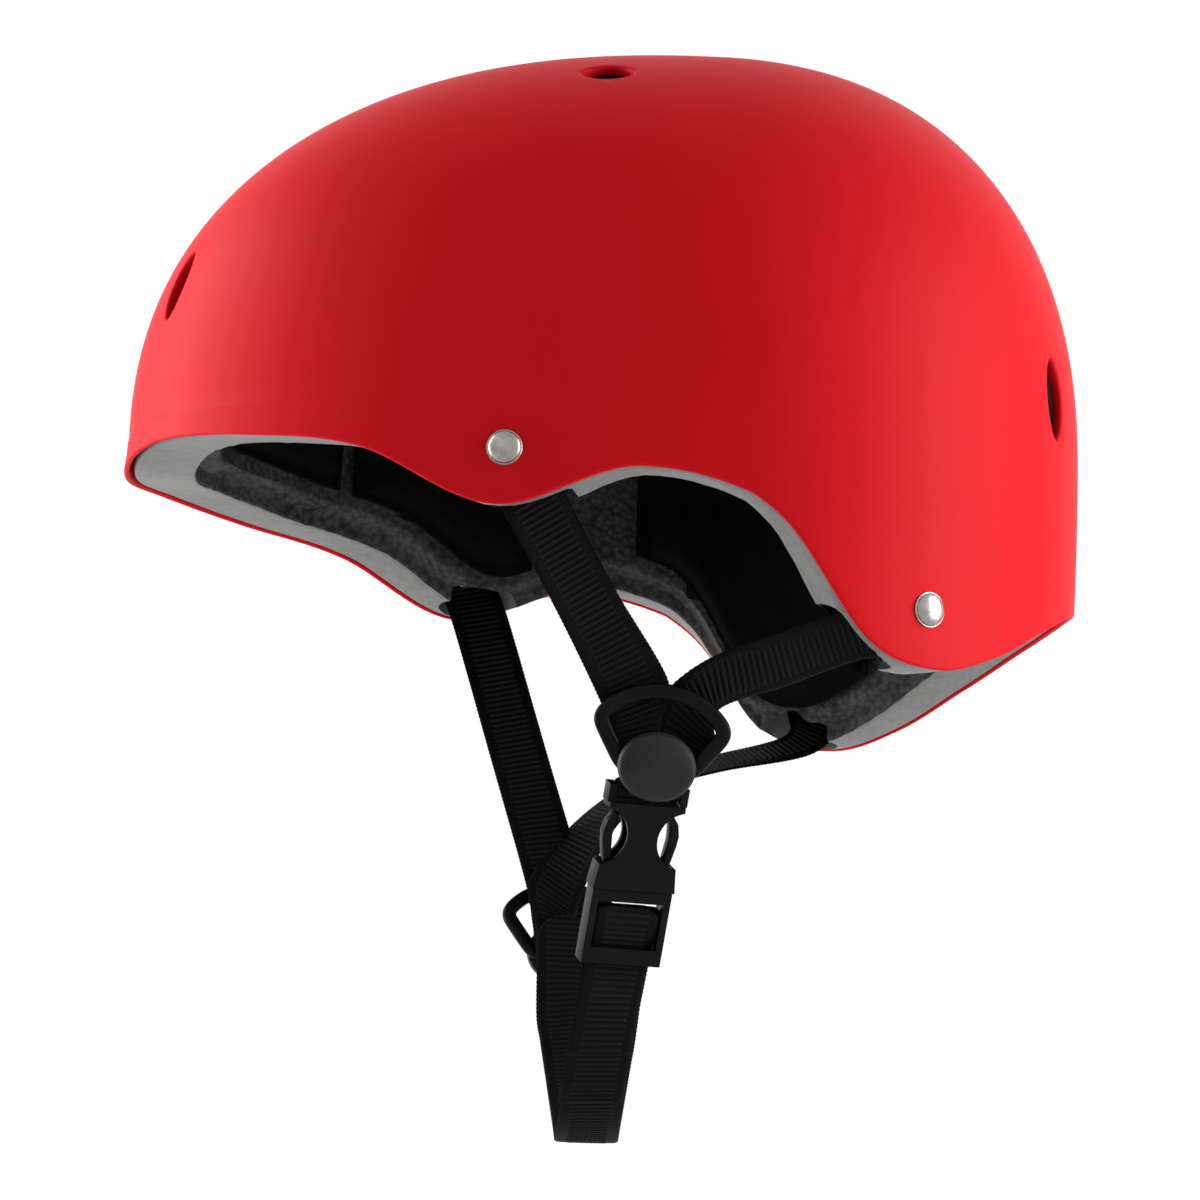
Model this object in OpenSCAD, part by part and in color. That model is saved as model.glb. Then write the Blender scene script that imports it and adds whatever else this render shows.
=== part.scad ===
// Water sports helmet: hard shell, foam liner, comfort pads and a webbing harness with a
// side release buckle. Millimetres. +X is the wearer's front, +Y the wearer's left, +Z up.
// The origin is on the plane of symmetry, at the height where the crown's dome begins.

/* [Shell] */
// Length of the shell from brow to nape
shell_l = 280; // [274:1:286]
// Greatest width of the shell
shell_w = 214; // [208:1:220]
// Height of the crown above the base of the dome
crown_h = 123; // [119:1:127]
// Wall of the shell
shell_t = 3; // [2.5:0.1:3.5]
// How far the lip turns outwards at the rim
lip_flare = 1.2; // [0:0.1:1.5]

/* [Liner and pads] */
// Foam between the shell and the head at brow and nape
liner_end_t = 24; // [20:1:26]
// Foam between the shell and the head at the sides
liner_side_t = 18; // [15:1:19]
// Foam over the crown
liner_crown_t = 23; // [18:1:25]
// Width of the step along the liner's lower edge
liner_step = 7; // [4:0.5:8]
// Thickness of a comfort pad
pad_t = 7; // [5:0.5:8]

/* [Vents] */
// Length and width of a front vent
front_vent = [22, 8.5]; // [6:0.5:24]
// Length and width of a rear vent
rear_vent = [24, 11.5]; // [6:0.5:26]
// Length and width of a crown vent
crown_vent = [15, 11.5]; // [6:0.5:18]

/* [Webbing] */
// Width of the webbing
webbing_w = 18.5; // [17:0.5:19]
// Thickness of the webbing
webbing_t = 1.4; // [1.2:0.1:1.6]

/* [Buckle] */
// Width across the buckle
buckle_w = 23; // [22.6:0.1:23.6]
// Thickness of the buckle's socket
buckle_t = 6.6; // [6.4:0.1:7]

/* [Rivets] */
// Diameter of a rivet's domed head
rivet_head_d = 10; // [8:0.5:11]
// Diameter of a rivet's shank
rivet_shank_d = 4; // [3.5:0.1:4.5]

/* [Hidden] */

fit_gap = 0.3;

// The plan of the shell is two half ellipses that meet at mid_x
mid_x = -25.5;
rear_l = 109.5;
front_l = shell_l - rear_l;
// Powers of the curves from the dome's base to the crown, at the front, back and sides
front_n = 2.26;
rear_n = 2.28;
side_n = 2;
// Share by which the wall pulls in at 50 mm below the dome's base
tuck = 0.0107;
flare_h = 6;

// The rim's height at each bearing: brow, temple dip, ear arch, rear dip and nape
rim_points = [[0, -9], [20, -7], [38, -10], [52, -15.5], [66, -32], [80, -21], [94, -32.5],
    [108, -64.5], [120, -71], [132, -65.5], [146, -54.5], [162, -45.5], [180, -42]];

around = 72;
low_rows = 3;
dome_rows = 9;

function mix(a, b, t) = a + (b - a) * t;
function unit(v) = v / norm(v);

// Slope of the rim line at control point i, from the points on either side
function rim_slope(i) = (i == 0 || i == len(rim_points) - 1) ? 0
    : (rim_points[i + 1][1] - rim_points[i - 1][1]) / (rim_points[i + 1][0] - rim_points[i - 1][0]);

// Cubic through the rim's control points
function rim_between(i, b) = let (
        p = rim_points[i], q = rim_points[i + 1], w = q[0] - p[0], t = (b - p[0]) / w)
    p[1] * (1 + 2 * t) * (1 - t) * (1 - t) + rim_slope(i) * w * t * (1 - t) * (1 - t)
    + q[1] * t * t * (3 - 2 * t) + rim_slope(i + 1) * w * t * t * (t - 1);
function folded(a) = let (b = abs(a) % 360) b > 180 ? 360 - b : b;
function rim_index(b) = max([for (i = [0 : len(rim_points) - 2]) if (rim_points[i][0] <= b) i]);
function rim_z(a) = let (b = folded(a)) rim_between(rim_index(b), b);

function dome(v, n) = pow(max(0, 1 - pow(v, n)), 1 / n);

// Sideways share of the half width at bearing a: an ellipse at the back, blunter at the front
front_blunt = 2.2;
function plan_y(a) = cos(a) > 0 ? sign(sin(a)) * dome(abs(cos(a)), front_blunt) : sin(a);

// Point at bearing a and height z on a skin that lies g = [at the ends, at the sides, at the
// crown] millimetres inside the shell's outer face
function skin(a, z, g) = let (
        v = min(1, max(0, z / (crown_h - g[2]))),
        pull = 1 - tuck * pow(max(0, -z / 50), 2),
        rx = cos(a) > 0 ? (front_l - g[0]) * dome(v, front_n) : (rear_l - g[0]) * dome(v, rear_n),
        ry = (shell_w / 2 - g[1]) * dome(v, side_n))
    [mid_x + rx * cos(a) * pull, ry * plan_y(a) * pull, z];

// Outward normal of that skin
function skin_normal(a, z, g) = unit(cross(
    skin(a + 0.5, z, g) - skin(a - 0.5, z, g),
    skin(a, z + 0.25, g) - skin(a, z - 0.25, g)));

function ring_at(z_of, g) = [for (i = [0 : around - 1]) let (a = 360 * i / around)
    skin(a, z_of[i], g)];
function rim_row(up) = [for (i = [0 : around - 1]) rim_z(360 * i / around) + up];
function low_row(up, j) = [for (z = rim_row(up)) z * (1 - j / low_rows)];
function dome_row(g, j) = [for (i = [0 : around - 1]) (crown_h - g[2]) * sin(90 * j / dome_rows)];

// Rings of one skin from its rim up to just under the crown
function skin_rings(g, up) = concat(
    [for (j = [0 : low_rows - 1]) ring_at(low_row(up, j), g)],
    [for (j = [0 : dome_rows - 1]) ring_at(dome_row(g, j), g)]);

function crown_point(g) = [mid_x, 0, crown_h - g[2]];
function reversed(list) = [for (i = [len(list) - 1 : -1 : 0]) list[i]];

// Closed bowl through rings that run from the outer crown to the rim and back up inside
module bowl(rings, outer_top, inner_top) {
    n = len(rings[0]);
    last = len(rings) - 1;
    points = concat([outer_top], [for (r = rings) each r], [inner_top]);
    end = len(points) - 1;
    polyhedron(points, concat(
        [for (i = [0 : n - 1]) [0, 1 + (i + 1) % n, 1 + i]],
        [for (j = [0 : last - 1]) for (i = [0 : n - 1]) let (p = 1 + j * n + i,
            q = 1 + j * n + (i + 1) % n) each [[p, q, q + n], [p, q + n, p + n]]],
        [for (i = [0 : n - 1]) [end, 1 + last * n + i, 1 + last * n + (i + 1) % n]]),
        convexity = 6);
}

// The shell's outer face, whose lip turns outwards over its last few millimetres
function lip(a, z) = lip_flare * exp(-(z - rim_z(a)) / flare_h) * max(0, cos(a));
function shell_face(a, z, g) = skin(a, z, g) + lip(a, z) * [cos(a), sin(a), 0];
function shell_rings(g) = concat(
    [for (h = [0, 4]) [for (i = [0 : around - 1]) let (a = 360 * i / around)
        shell_face(a, rim_z(a) + h, g)]],
    [for (j = [1 : low_rows - 1]) [for (i = [0 : around - 1]) let (a = 360 * i / around)
        shell_face(a, mix(rim_z(a) + 4, 0, j / low_rows), g)]],
    [for (j = [0 : dome_rows - 1]) ring_at(dome_row(g, j), g)]);

// Vents: [bearing, height, size, turn about the face's normal]
side_vent_row = [for (s = [-1, 1]) each [
    [s * 16.5, 41, front_vent, 0],
    [s * 149, 14, rear_vent, 0],
    [s * 68.5, 104.5, crown_vent, 90]]];
middle_vent_row = [[0, 46, front_vent, 0], [180, 18, rear_vent, 0], [0, 103, crown_vent, 0],
    [180, 108, crown_vent, 0], [0, crown_h - 0.02, crown_vent, 0]];
vents = concat(side_vent_row, middle_vent_row);

// Puts a child's +Z along the skin's outward normal and its +Y up the skin
module on_skin(a, z, turn) {
    n = skin_normal(a, z, [0, 0, 0]);
    p = skin(a, z, [0, 0, 0]);
    side = norm([n[0], n[1]]) < 0.1 ? [0, 1, 0] : unit(cross([0, 0, 1], n));
    up = cross(n, side);
    multmatrix([[side[0], up[0], n[0], p[0]], [side[1], up[1], n[1], p[1]],
        [side[2], up[2], n[2], p[2]], [0, 0, 0, 1]])
        rotate([0, 0, turn]) children();
}

// Lens shaped prism that cuts a vent
module vent_cutter(size, grow, depth) {
    half_l = size[0] / 2 + grow;
    half_w = size[1] / 2 + grow;
    tip = 1.5;
    hull()
        for (t = [-1 : 0.5 : 1])
            translate([0, t * (half_l - tip), -depth])
                cylinder(r = mix(half_w, tip, t * t), h = depth + 12, $fn = 16);
}

module outer_shell() {
    inside = [shell_t, shell_t, shell_t];
    color("crimson")
        difference() {
            bowl(concat(reversed(shell_rings([0, 0, 0])), shell_rings(inside)),
                crown_point([0, 0, 0]), crown_point(inside));
            for (v = vents)
                on_skin(v[0], v[1], v[3]) vent_cutter(v[2], 0, 14);
            for (r = rivets)
                on_skin(r[0], r[1], 0)
                    translate([0, 0, -8]) cylinder(d = rivet_shank_d + 0.4, h = 12, $fn = 16);
        }
}

// Skins of the foam liner
liner_out = [for (i = [0 : 2]) shell_t + fit_gap];
liner_in = [shell_t + liner_end_t, shell_t + liner_side_t, shell_t + liner_crown_t];
liner_bottom_in = liner_in - [liner_step, liner_step - 1, 0];
liner_rise = 1.2;

function liner_ring(g, up) = ring_at(rim_row(up), g);

module foam_liner() {
    color("dimgray")
        difference() {
            bowl(concat(
                reversed(skin_rings(liner_out, liner_rise)),
                [liner_ring(liner_bottom_in, liner_rise + 2),
                    liner_ring(liner_bottom_in + [0.6, 0.6, 0], liner_rise + 6)],
                skin_rings(liner_in, liner_rise + 8)),
                crown_point(liner_out), crown_point(liner_in));
            for (v = vents)
                on_skin(v[0], v[1], v[3]) vent_cutter(v[2], 1, 40);
            for (s = straps)
                strap_channel(s);
        }
}

// Pocket and channel in the liner for one strap's riveted end
channel_r = 12.5;
module strap_channel(s) {
    r = s[0];
    p = anchor(r);
    n = rivet_normal(r);
    hull() {
        translate(p - 1.5 * n) sphere(r = channel_r, $fn = 16);
        translate(way_point(s, 0) - 0.5 * n) sphere(r = channel_r, $fn = 16);
    }
}

// Comfort pads: patches of a skin between two bearings, from z_low above the rim to z_high
pad_out = liner_in + [2.1, 2.1, 2.1];

function pad_point(a0, a1, zl, zh, u, v, g) = let (
        a = mix(a0, a1, u), low = rim_z(a) + zl)
    skin(a, mix(low, zh, v), g);

// Closed slab over a grid of u and v, thinned towards its edges
module pad(a0, a1, zl, zh, nu, nv) {
    function g(u, v, inner) = let (e = min(min(u, 1 - u) * nu, min(v, 1 - v) * nv),
            t = pad_t * (e < 0.5 ? 0.45 : 1))
        inner ? pad_out + [t, t, t] : pad_out;
    outer = [for (j = [0 : nv]) for (i = [0 : nu])
        pad_point(a0, a1, zl, zh, i / nu, j / nv, g(i / nu, j / nv, false))];
    inner = [for (j = [0 : nv]) for (i = [0 : nu])
        pad_point(a0, a1, zl, zh, i / nu, j / nv, g(i / nu, j / nv, true))];
    slab(outer, inner, nu, nv);
}

// Closed solid between two grids of (nu + 1) x (nv + 1) points
module slab(outer, inner, nu, nv) {
    w = nu + 1;
    m = w * (nv + 1);
    quads = [for (j = [0 : nv - 1]) for (i = [0 : nu - 1]) let (p = j * w + i)
        [p, p + 1, p + w + 1, p + w]];
    border = concat([for (i = [0 : nu]) i], [for (j = [1 : nv]) j * w + nu],
        [for (i = [nu - 1 : -1 : 0]) nv * w + i], [for (j = [nv - 1 : -1 : 1]) j * w]);
    b = len(border);
    polyhedron(concat(outer, inner), concat(
        [for (q = quads) each [[q[0], q[2], q[1]], [q[0], q[3], q[2]]]],
        [for (q = quads) each [[q[0] + m, q[1] + m, q[2] + m], [q[0] + m, q[2] + m, q[3] + m]]],
        [for (k = [0 : b - 1]) let (p = border[k], q = border[(k + 1) % b])
            each [[p, q, q + m], [p, q + m, p + m]]]), convexity = 4);
}

module pad_cloth() {
    color("black") children();
}
module brow_pad() pad_cloth() pad(-40, 40, 11, 36, 14, 3);
module temple_pad() pad_cloth() pad(43, 71, 11, 38, 6, 3);
module side_pad() pad_cloth() pad(85, 137, 11, 38, 9, 3);
module rear_pad() pad_cloth() pad(141, 219, 11, 26, 12, 3);

// Crown pad: a round cushion under the top of the liner, cut out round the middle vent
cap_around = 36;
function cap_rings(g) = [for (t = [52, 66, 79]) [for (i = [0 : cap_around - 1])
    skin(360 * i / cap_around, (crown_h - g[2]) * sin(t), g)]];
module crown_pad() {
    under = pad_out + [pad_t, pad_t, pad_t];
    pad_cloth()
        difference() {
            bowl(concat(reversed(cap_rings(pad_out)), cap_rings(under)), crown_point(pad_out),
                crown_point(under));
            translate([mid_x, 0, 60]) cylinder(r = 12, h = crown_h, $fn = 32);
        }
}

// Hook patches between the liner and the pads: [bearing, height above the rim]
hook_patches = [for (a = [-57, -28, 0, 28, 57, 98, 122, 160, 200, 238, 262]) [a, 24]];

module pad_hook_patches() {
    half = 5;
    color("dimgray")
        for (h = hook_patches) {
            z = rim_z(h[0]) + h[1];
            outer = [for (j = [0 : 2]) for (i = [0 : 2])
                skin(h[0] + (i - 1) * half, z + (j - 1) * 8, liner_in + [0.8, 0.8, 0.8])];
            inner = [for (j = [0 : 2]) for (i = [0 : 2])
                skin(h[0] + (i - 1) * half, z + (j - 1) * 8, liner_in + [1.6, 1.6, 1.6])];
            slab(outer, inner, 2, 2);
        }
}

// Rivets: [bearing, height], front and rear on each side
rivets = [[67, -16.5], [118, -55], [-67, -16.5], [-118, -55]];
anchor_depth = 4.9;

function rivet_point(r) = skin(r[0], r[1], [0, 0, 0]);
function rivet_normal(r) = skin_normal(r[0], r[1], [0, 0, 0]);
function anchor(r) = rivet_point(r) - anchor_depth * rivet_normal(r);

// Domed head outside, shank through shell and webbing, and a spread foot inside
module rivet(r) {
    head_h = 2.4;
    foot = anchor_depth + webbing_t / 2 + 1.6;
    color("silver")
        on_skin(r[0], r[1], 0) {
            intersection() {
                cylinder(d = rivet_head_d, h = head_h, $fn = 48);
                translate([0, 0, head_h - 6.4]) sphere(r = 6.4, $fn = 48);
            }
            translate([0, 0, -foot - 0.8]) cylinder(d = rivet_shank_d, h = foot + 1, $fn = 32);
            translate([0, 0, -foot - 0.8]) cylinder(d = 6.5, h = 0.8, $fn = 32);
        }
}

module rivet_washers() {
    color("silver")
        for (r = rivets)
            on_skin(r[0], r[1], 0)
                translate([0, 0, -anchor_depth - webbing_t / 2 - 1.5])
                    difference() {
                        cylinder(d = 12, h = 1, $fn = 32);
                        translate([0, 0, -1]) cylinder(d = rivet_shank_d + 0.2, h = 3, $fn = 32);
                    }
}

// Turning matrices
function turn_x(a) = [[1, 0, 0], [0, cos(a), -sin(a)], [0, sin(a), cos(a)]];
function turn_y(a) = [[cos(a), 0, sin(a)], [0, 1, 0], [-sin(a), 0, cos(a)]];
function turn_z(a) = [[cos(a), -sin(a), 0], [sin(a), cos(a), 0], [0, 0, 1]];

// Frames: [origin, matrix]. In each, +X runs forward across the webbing, +Y points away from
// the head and -Z down the strap. A right side frame is mirrored, so its +Y is outward too.
left_pivot = [-4, 79, -98];
right_pivot = [8, -65, -138];
left_frame = [left_pivot, turn_x(-17) * turn_y(-6) * turn_z(-3)];
flip = [[1, 0, 0], [0, -1, 0], [0, 0, 1]];
right_frame = [right_pivot, turn_x(16) * turn_y(0) * turn_z(4) * flip];
buckle_frame = [left_pivot, turn_x(-22) * turn_y(-6.2) * turn_z(12)];

function placed(f, p) = f[0] + f[1] * p;

module in_frame(f) {
    m = f[1];
    o = f[0];
    multmatrix([[m[0][0], m[0][1], m[0][2], o[0]], [m[1][0], m[1][1], m[1][2], o[1]],
        [m[2][0], m[2][1], m[2][2], o[2]], [0, 0, 0, 1]]) children();
}

// Point between stations i and i + 1 of a list, on a smooth curve through them all
function station(s, i) = s[min(len(s) - 1, max(0, i))];
function smooth(s, i, t) = let (a = station(s, i - 1), b = station(s, i), c = station(s, i + 1),
        d = station(s, i + 2))
    0.5 * (2 * b + (c - a) * t + (2 * a - 5 * b + 4 * c - d) * t * t
        + (3 * b - a - 3 * c + d) * t * t * t);
function smoothed(s, k) = concat(
    [for (i = [0 : len(s) - 2]) for (j = [0 : k - 1]) smooth(s, i, j / k)], [s[len(s) - 1]]);

// Webbing between two edge curves: a closed band of the webbing's thickness
module band(front_edge, rear_edge, thick) {
    n = len(front_edge);
    function along(i) = let (a = max(0, i - 1), b = min(n - 1, i + 1))
        front_edge[b] + rear_edge[b] - front_edge[a] - rear_edge[a];
    function face(i) = unit(cross(front_edge[i] - rear_edge[i], along(i))) * thick / 2;
    points = [for (i = [0 : n - 1]) each [front_edge[i] + face(i), rear_edge[i] + face(i),
        rear_edge[i] - face(i), front_edge[i] - face(i)]];
    polyhedron(points, concat([[0, 1, 2], [0, 2, 3]],
        [for (i = [0 : n - 2]) for (k = [0 : 3]) let (p = 4 * i + k, q = 4 * i + (k + 1) % 4)
            each [[p, p + 4, q + 4], [p, q + 4, q]]],
        [let (e = 4 * (n - 1)) [e, e + 2, e + 1], let (e = 4 * (n - 1)) [e, e + 3, e + 2]]),
        convexity = 6);
}

// Half a width across the strap's path, turned about the path
function across(path, n, turn) = let (w = unit(cross(path, n)), d = unit(path))
    (w * cos(turn) + cross(d, w) * sin(turn)) * webbing_w / 2;

// The front strap drops behind the ring's top bar to the seam in the middle of the ring, and
// the rear strap comes in behind the ring's rear shoulder. Each pair is one place along it.
front_edges = [[[13.0, -0.3, 14.5], [0.2, -1.2, 23.2]], [[10.8, 0, 7], [0.2, 0, 13]],
    [[8.8, 0, 1], [0.2, 0, 3]], [[8.4, 0, -3.4], [0.2, 0, -3.4]]];
rear_edges = [[[-9.6, -0.6, 30.6], [-15.0, -2.4, 17.0]], [[-1.2, 0, 19], [-13, -0.6, 6]],
    [[-0.2, 0, 7], [-9.8, 0, 0.8]], [[-0.2, 0, -3.4], [-8.4, 0, -3.4]]];

// On the right the rear strap lies over the inner face of the front one
inner_y = -1.8;
far_front_edges = [[[12.5, 0, 22], [-5.7, 0, 24.5]], [[10, 0, 8], [-8, 0, 9.5]],
    [[8.6, 0, -3.4], [-8.6, 0, -3.4]]];
far_rear_edges = [[[11, inner_y, 22], [-4, inner_y, 12]], [[9.3, inner_y, 6], [-8.4, inner_y, 2]],
    [[8.6, inner_y, -3.4], [-8.6, inner_y, -3.4]]];

// Side straps: [rivet, frame, edges in the frame, places on the way, side of the helmet]. Each
// place on the way is a centre, or a share of the way to the ring, and a turn about the path.
straps = [[rivets[0], left_frame, front_edges, [[0.3, -25], [0.65, -25]], 1],
    [rivets[1], left_frame, rear_edges, [[0.34, -30], [0.67, -30]], 1],
    [rivets[2], right_frame, far_front_edges, [[0.2, 0], [0.6, 0]], -1],
    [rivets[3], right_frame, far_rear_edges, [[[-65.5, -84.5, -70.5], 42], [[-38.6, -84, -77.5], 55],
        [[-20, -78, -84.6], 45], [[-2, -73, -98.4], 30]], -1]];
function strap_target(s) = placed(s[1], (s[2][0][0] + s[2][0][1]) / 2);
function way_point(s, k) = is_list(s[3][k][0]) ? s[3][k][0]
    : mix(anchor(s[0]), strap_target(s), s[3][k][0]);

// Flat run of a strap on either side of its rivet
strap_over = 7;

module side_strap(s) {
    n = rivet_normal(s[0]);
    a = anchor(s[0]);
    start = way_point(s, 0) - a;
    along_wall = unit(start - (start * n) * n);
    centres = concat([a - strap_over * along_wall, a, a + strap_over * along_wall],
        [for (k = [0 : len(s[3]) - 1]) way_point(s, k)],
        [strap_target(s)]);
    turns = concat([0, 0, 0], [for (w = s[3]) w[1]]);
    halves = [for (i = [0 : len(turns) - 1])
        s[4] * across(unit(centres[i + 1] - centres[max(0, i - 1)]), n, turns[i])];
    edges = [for (k = [0, 1]) smoothed(concat(
        [for (i = [0 : len(halves) - 1]) centres[i] + (k == 0 ? 1 : -1) * halves[i]],
        [for (e = s[2]) placed(s[1], e[k])]), 3)];
    color("black")
        difference() {
            band(edges[0], edges[1], webbing_t);
            on_skin(s[0][0], s[0][1], 0)
                translate([0, 0, -12]) cylinder(d = rivet_shank_d + 0.2, h = 14, $fn = 32);
            in_frame(s[1])
                rotate([90, 0, 0])
                    translate([0, 0, -6]) cylinder(r = 2.6, h = 12, $fn = 32);
        }
}

// Strap divider: arched ring, domed button and the post that joins them through the webbing
ring_y = [1.1, 4.1];
ring_bar = 4.2;
ring_round = 3.2;
ring_arch_r = 22.9;
post_r = 2.4;

module ring_outline() {
    intersection() {
        translate([0, -0.7]) circle(r = ring_arch_r, $fn = 96);
        polygon([[-18.9, 12.2], [-11, -2.2], [-9, -3.6], [9, -3.6], [11, -2.2], [18.9, 12.2],
            [18.9, 30], [-18.9, 30]]);
    }
}

module divider_ring(f) {
    color("black")
        in_frame(f)
            translate([0, ring_y[1], 0])
                rotate([90, 0, 0])
                    linear_extrude(ring_y[1] - ring_y[0])
                        difference() {
                            union() {
                                difference() {
                                    offset(r = ring_round, $fn = 32) offset(delta = -ring_round)
                                        ring_outline();
                                    offset(r = 1.2, $fn = 32) offset(delta = -ring_bar - 1.2)
                                        ring_outline();
                                }
                                circle(r = 5.5, $fn = 48);
                            }
                            circle(r = post_r + 0.1, $fn = 48);
                        }
}

// Domed cap with a blind bore for the post
cap_r = 10;
cap_rise = [2.2, 1.9];
module divider_button(f) {
    dome_points = [for (t = [0 : 15 : 90]) [cap_r * cos(t), cap_rise[0] + cap_rise[1] * sin(t)]];
    color("darkslategray")
        in_frame(f)
            translate([0, ring_y[1] + 0.1, 0])
                rotate([-90, 0, 0])
                    difference() {
                        rotate_extrude($fn = 64) polygon(concat([[0, 0], [cap_r, 0]], dome_points));
                        translate([0, 0, -1]) cylinder(r = post_r + 0.05, h = 3, $fn = 48);
                    }
}

module divider_post(f, head_r, strap_y) {
    back_y = strap_y - webbing_t / 2 - 0.15;
    color("dimgray")
        in_frame(f)
            rotate([-90, 0, 0]) {
                translate([0, 0, back_y - 1.4]) cylinder(r = head_r, h = 1.4, $fn = 48);
                translate([0, 0, back_y - 0.5])
                    cylinder(r = post_r, h = ring_y[1] + 1.8 - back_y + 0.5, $fn = 48);
            }
}

// Buckle, measured down the strap from the left pivot
bar_z = -8.4;
bar_r = 1.5;
bar_y = -3.2;
socket_top = -11.9;
mouth_z = -36.5;
plug_end = -58;
half_b = buckle_w / 2;
half_t = buckle_t / 2;
window_mid = -21.5;

// Webbing loop round the socket's bar
module socket_tab() {
    r_in = bar_r + 0.15;
    color("black")
        in_frame(buckle_frame)
            translate([0, bar_y, bar_z])
                rotate([0, 90, 0])
                    translate([0, 0, -webbing_w / 2])
                        linear_extrude(webbing_w)
                            difference() {
                                circle(r = r_in + webbing_t, $fn = 48);
                                circle(r = r_in, $fn = 48);
                            }
}

// Side outline of the socket's flat body, narrow at the waist and wider at the mouth
module socket_plan() {
    difference() {
        polygon([[-half_b + 0.6, socket_top], [half_b - 0.6, socket_top],
            [half_b - 0.4, -30], [half_b + 0.4, mouth_z], [-half_b - 0.4, mouth_z],
            [-half_b + 0.4, -30]]);
        for (s = [-1, 1])
            translate([s * (half_b + 1), window_mid]) circle(r = 8.2, $fn = 64);
    }
}

// Throat of the socket, which opens sideways into the windows
throat_half = 10.3;
module socket_throat() {
    translate([0, 2.1, 0])
        rotate([90, 0, 0])
            linear_extrude(4.2)
                polygon([[-throat_half, -14.6], [throat_half, -14.6],
                    [throat_half, mouth_z - 1], [-throat_half, mouth_z - 1]]);
}

module buckle_socket() {
    color("black")
        in_frame(buckle_frame)
            translate([0, bar_y, 0]) {
                difference() {
                    translate([0, half_t, 0])
                        rotate([90, 0, 0]) linear_extrude(buckle_t) socket_plan();
                    socket_throat();
                }
                for (s = [-1, 1])
                    translate([s * (half_b - 1.1), 0, 0])
                        translate([-1.1, -2.3, socket_top - 0.1])
                            cube([2.2, 4.6, bar_z - socket_top + bar_r + 0.1]);
                translate([-half_b + 1, 0, bar_z])
                    rotate([0, 90, 0]) cylinder(r = bar_r, h = buckle_w - 2, $fn = 32);
            }
}

// Plug: shoulder, centre tongue and a ladder frame that the webbing doubles back through
rail_w = 2;
shoulder_h = 3.4;
wrap_bar_z = -45.5;
wrap_bar_r = 1.4;
wrap_bar_y = -0.2;
foot_bar = [-53.4, plug_end];

module buckle_plug() {
    color("black")
        in_frame(buckle_frame)
            translate([0, bar_y, 0]) {
                translate([-half_b, -half_t + 0.4, mouth_z - shoulder_h - 0.2])
                    cube([buckle_w, buckle_t - 0.8, shoulder_h]);
                translate([-1.5, -1.6, mouth_z - 1]) cube([3, 3.2, 16]);
                for (s = [-1, 1])
                    translate([s * (half_b - rail_w / 2) - rail_w / 2, -half_t + 0.4, plug_end])
                        cube([rail_w, buckle_t - 0.8, mouth_z - 1.5 - plug_end]);
                translate([-half_b + 1, wrap_bar_y, wrap_bar_z])
                    rotate([0, 90, 0]) cylinder(r = wrap_bar_r, h = buckle_w - 2, $fn = 32);
                translate([-half_b + 1, half_t - 2.2, foot_bar[1]])
                    cube([buckle_w - 2, 1.8, foot_bar[0] - foot_bar[1]]);
            }
}

// Latch prong: bowed arm that fills one window and bends at its root. The profile is half width
// against height above the root, up the outer side and down the inner one.
prong_profile = [[9.4, 0.5], [9.5, 7], [10.1, 10], [10.7, 13], [11, 16], [10.3, 19.3], [8.6, 21.6],
    [7, 21.3], [7.9, 18.3], [8.2, 15], [7.6, 9], [7.2, 0.5]];
prong_root = mouth_z - 0.1;
module latch_prong(s) {
    color("black")
        in_frame(buckle_frame)
            translate([0, bar_y + 1.7, 0])
                rotate([90, 0, 0])
                    linear_extrude(3.4)
                        polygon([for (p = prong_profile) [s * p[0], prong_root + p[1]]]);
}

// Chin strap: hangs in a chain curve between the buckle and the right divider
chain_a = 42.5;
chain_low = -198;
chain_x = 5.5;
chain_lean = [0.088, -0.152, 0.176];
function chain_rise(y) = chain_a * ((exp(y / chain_a) + exp(-y / chain_a)) / 2 - 1);
function chain(y) = [chain_x + chain_lean[0] * y + chain_lean[y > 0 ? 1 : 2] * chain_rise(y), y,
    chain_low + chain_rise(y)];

// One edge of the chain between two sideways places, with the webbing turned from t0 to t1
// about the vertical and set `off` millimetres outside the curve
function chain_edge(y0, y1, t0, t1, side, k, off) = [for (i = [0 : k]) let (
        s = i / k, y = mix(y0, y1, s), t = mix(t0, t1, s), d = unit(chain(y + 0.5) - chain(y - 0.5)),
        w = unit(cross(cross(d, [cos(t), sin(t), 0]), d)))
    chain(y) + side * w * webbing_w / 2 + off * cross(d, w)];

leg_turn = [2, 9];
module chin_strap_right() {
    top_y = -58;
    edges = [for (s = [1, -1]) chain_edge(-0.1, top_y, leg_turn[0], -3, s, 12, 0)];
    color("black") band(edges[0], edges[1], webbing_t);
}

// Left leg: comes up from the chain, passes behind the foot bar and over the wrap bar
leg_join_y = 46;
function in_plug(x, y, z) = placed(buckle_frame, [x, bar_y + y, z]);
leg_top = [[-2.1, -60.4], [-2.1, -57.5], [-2.2, -52], [-2.6, -46.6], [-1.9, -43.6], [-0.1, -42.7],
    [1.6, -43.8], [2.1, -46.5], [1.2, -50], [0.1, -54], [0.1, -58.35]];
module chin_strap_left() {
    half = webbing_w / 2;
    edges = [for (s = [1, -1]) smoothed(concat(
        chain_edge(0.1, leg_join_y, leg_turn[0], leg_turn[1], s, 8, 0),
        [for (p = leg_top) in_plug(s * half, p[0], p[1])]), 2)];
    color("black") band(edges[0], edges[1], webbing_t);
}

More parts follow.
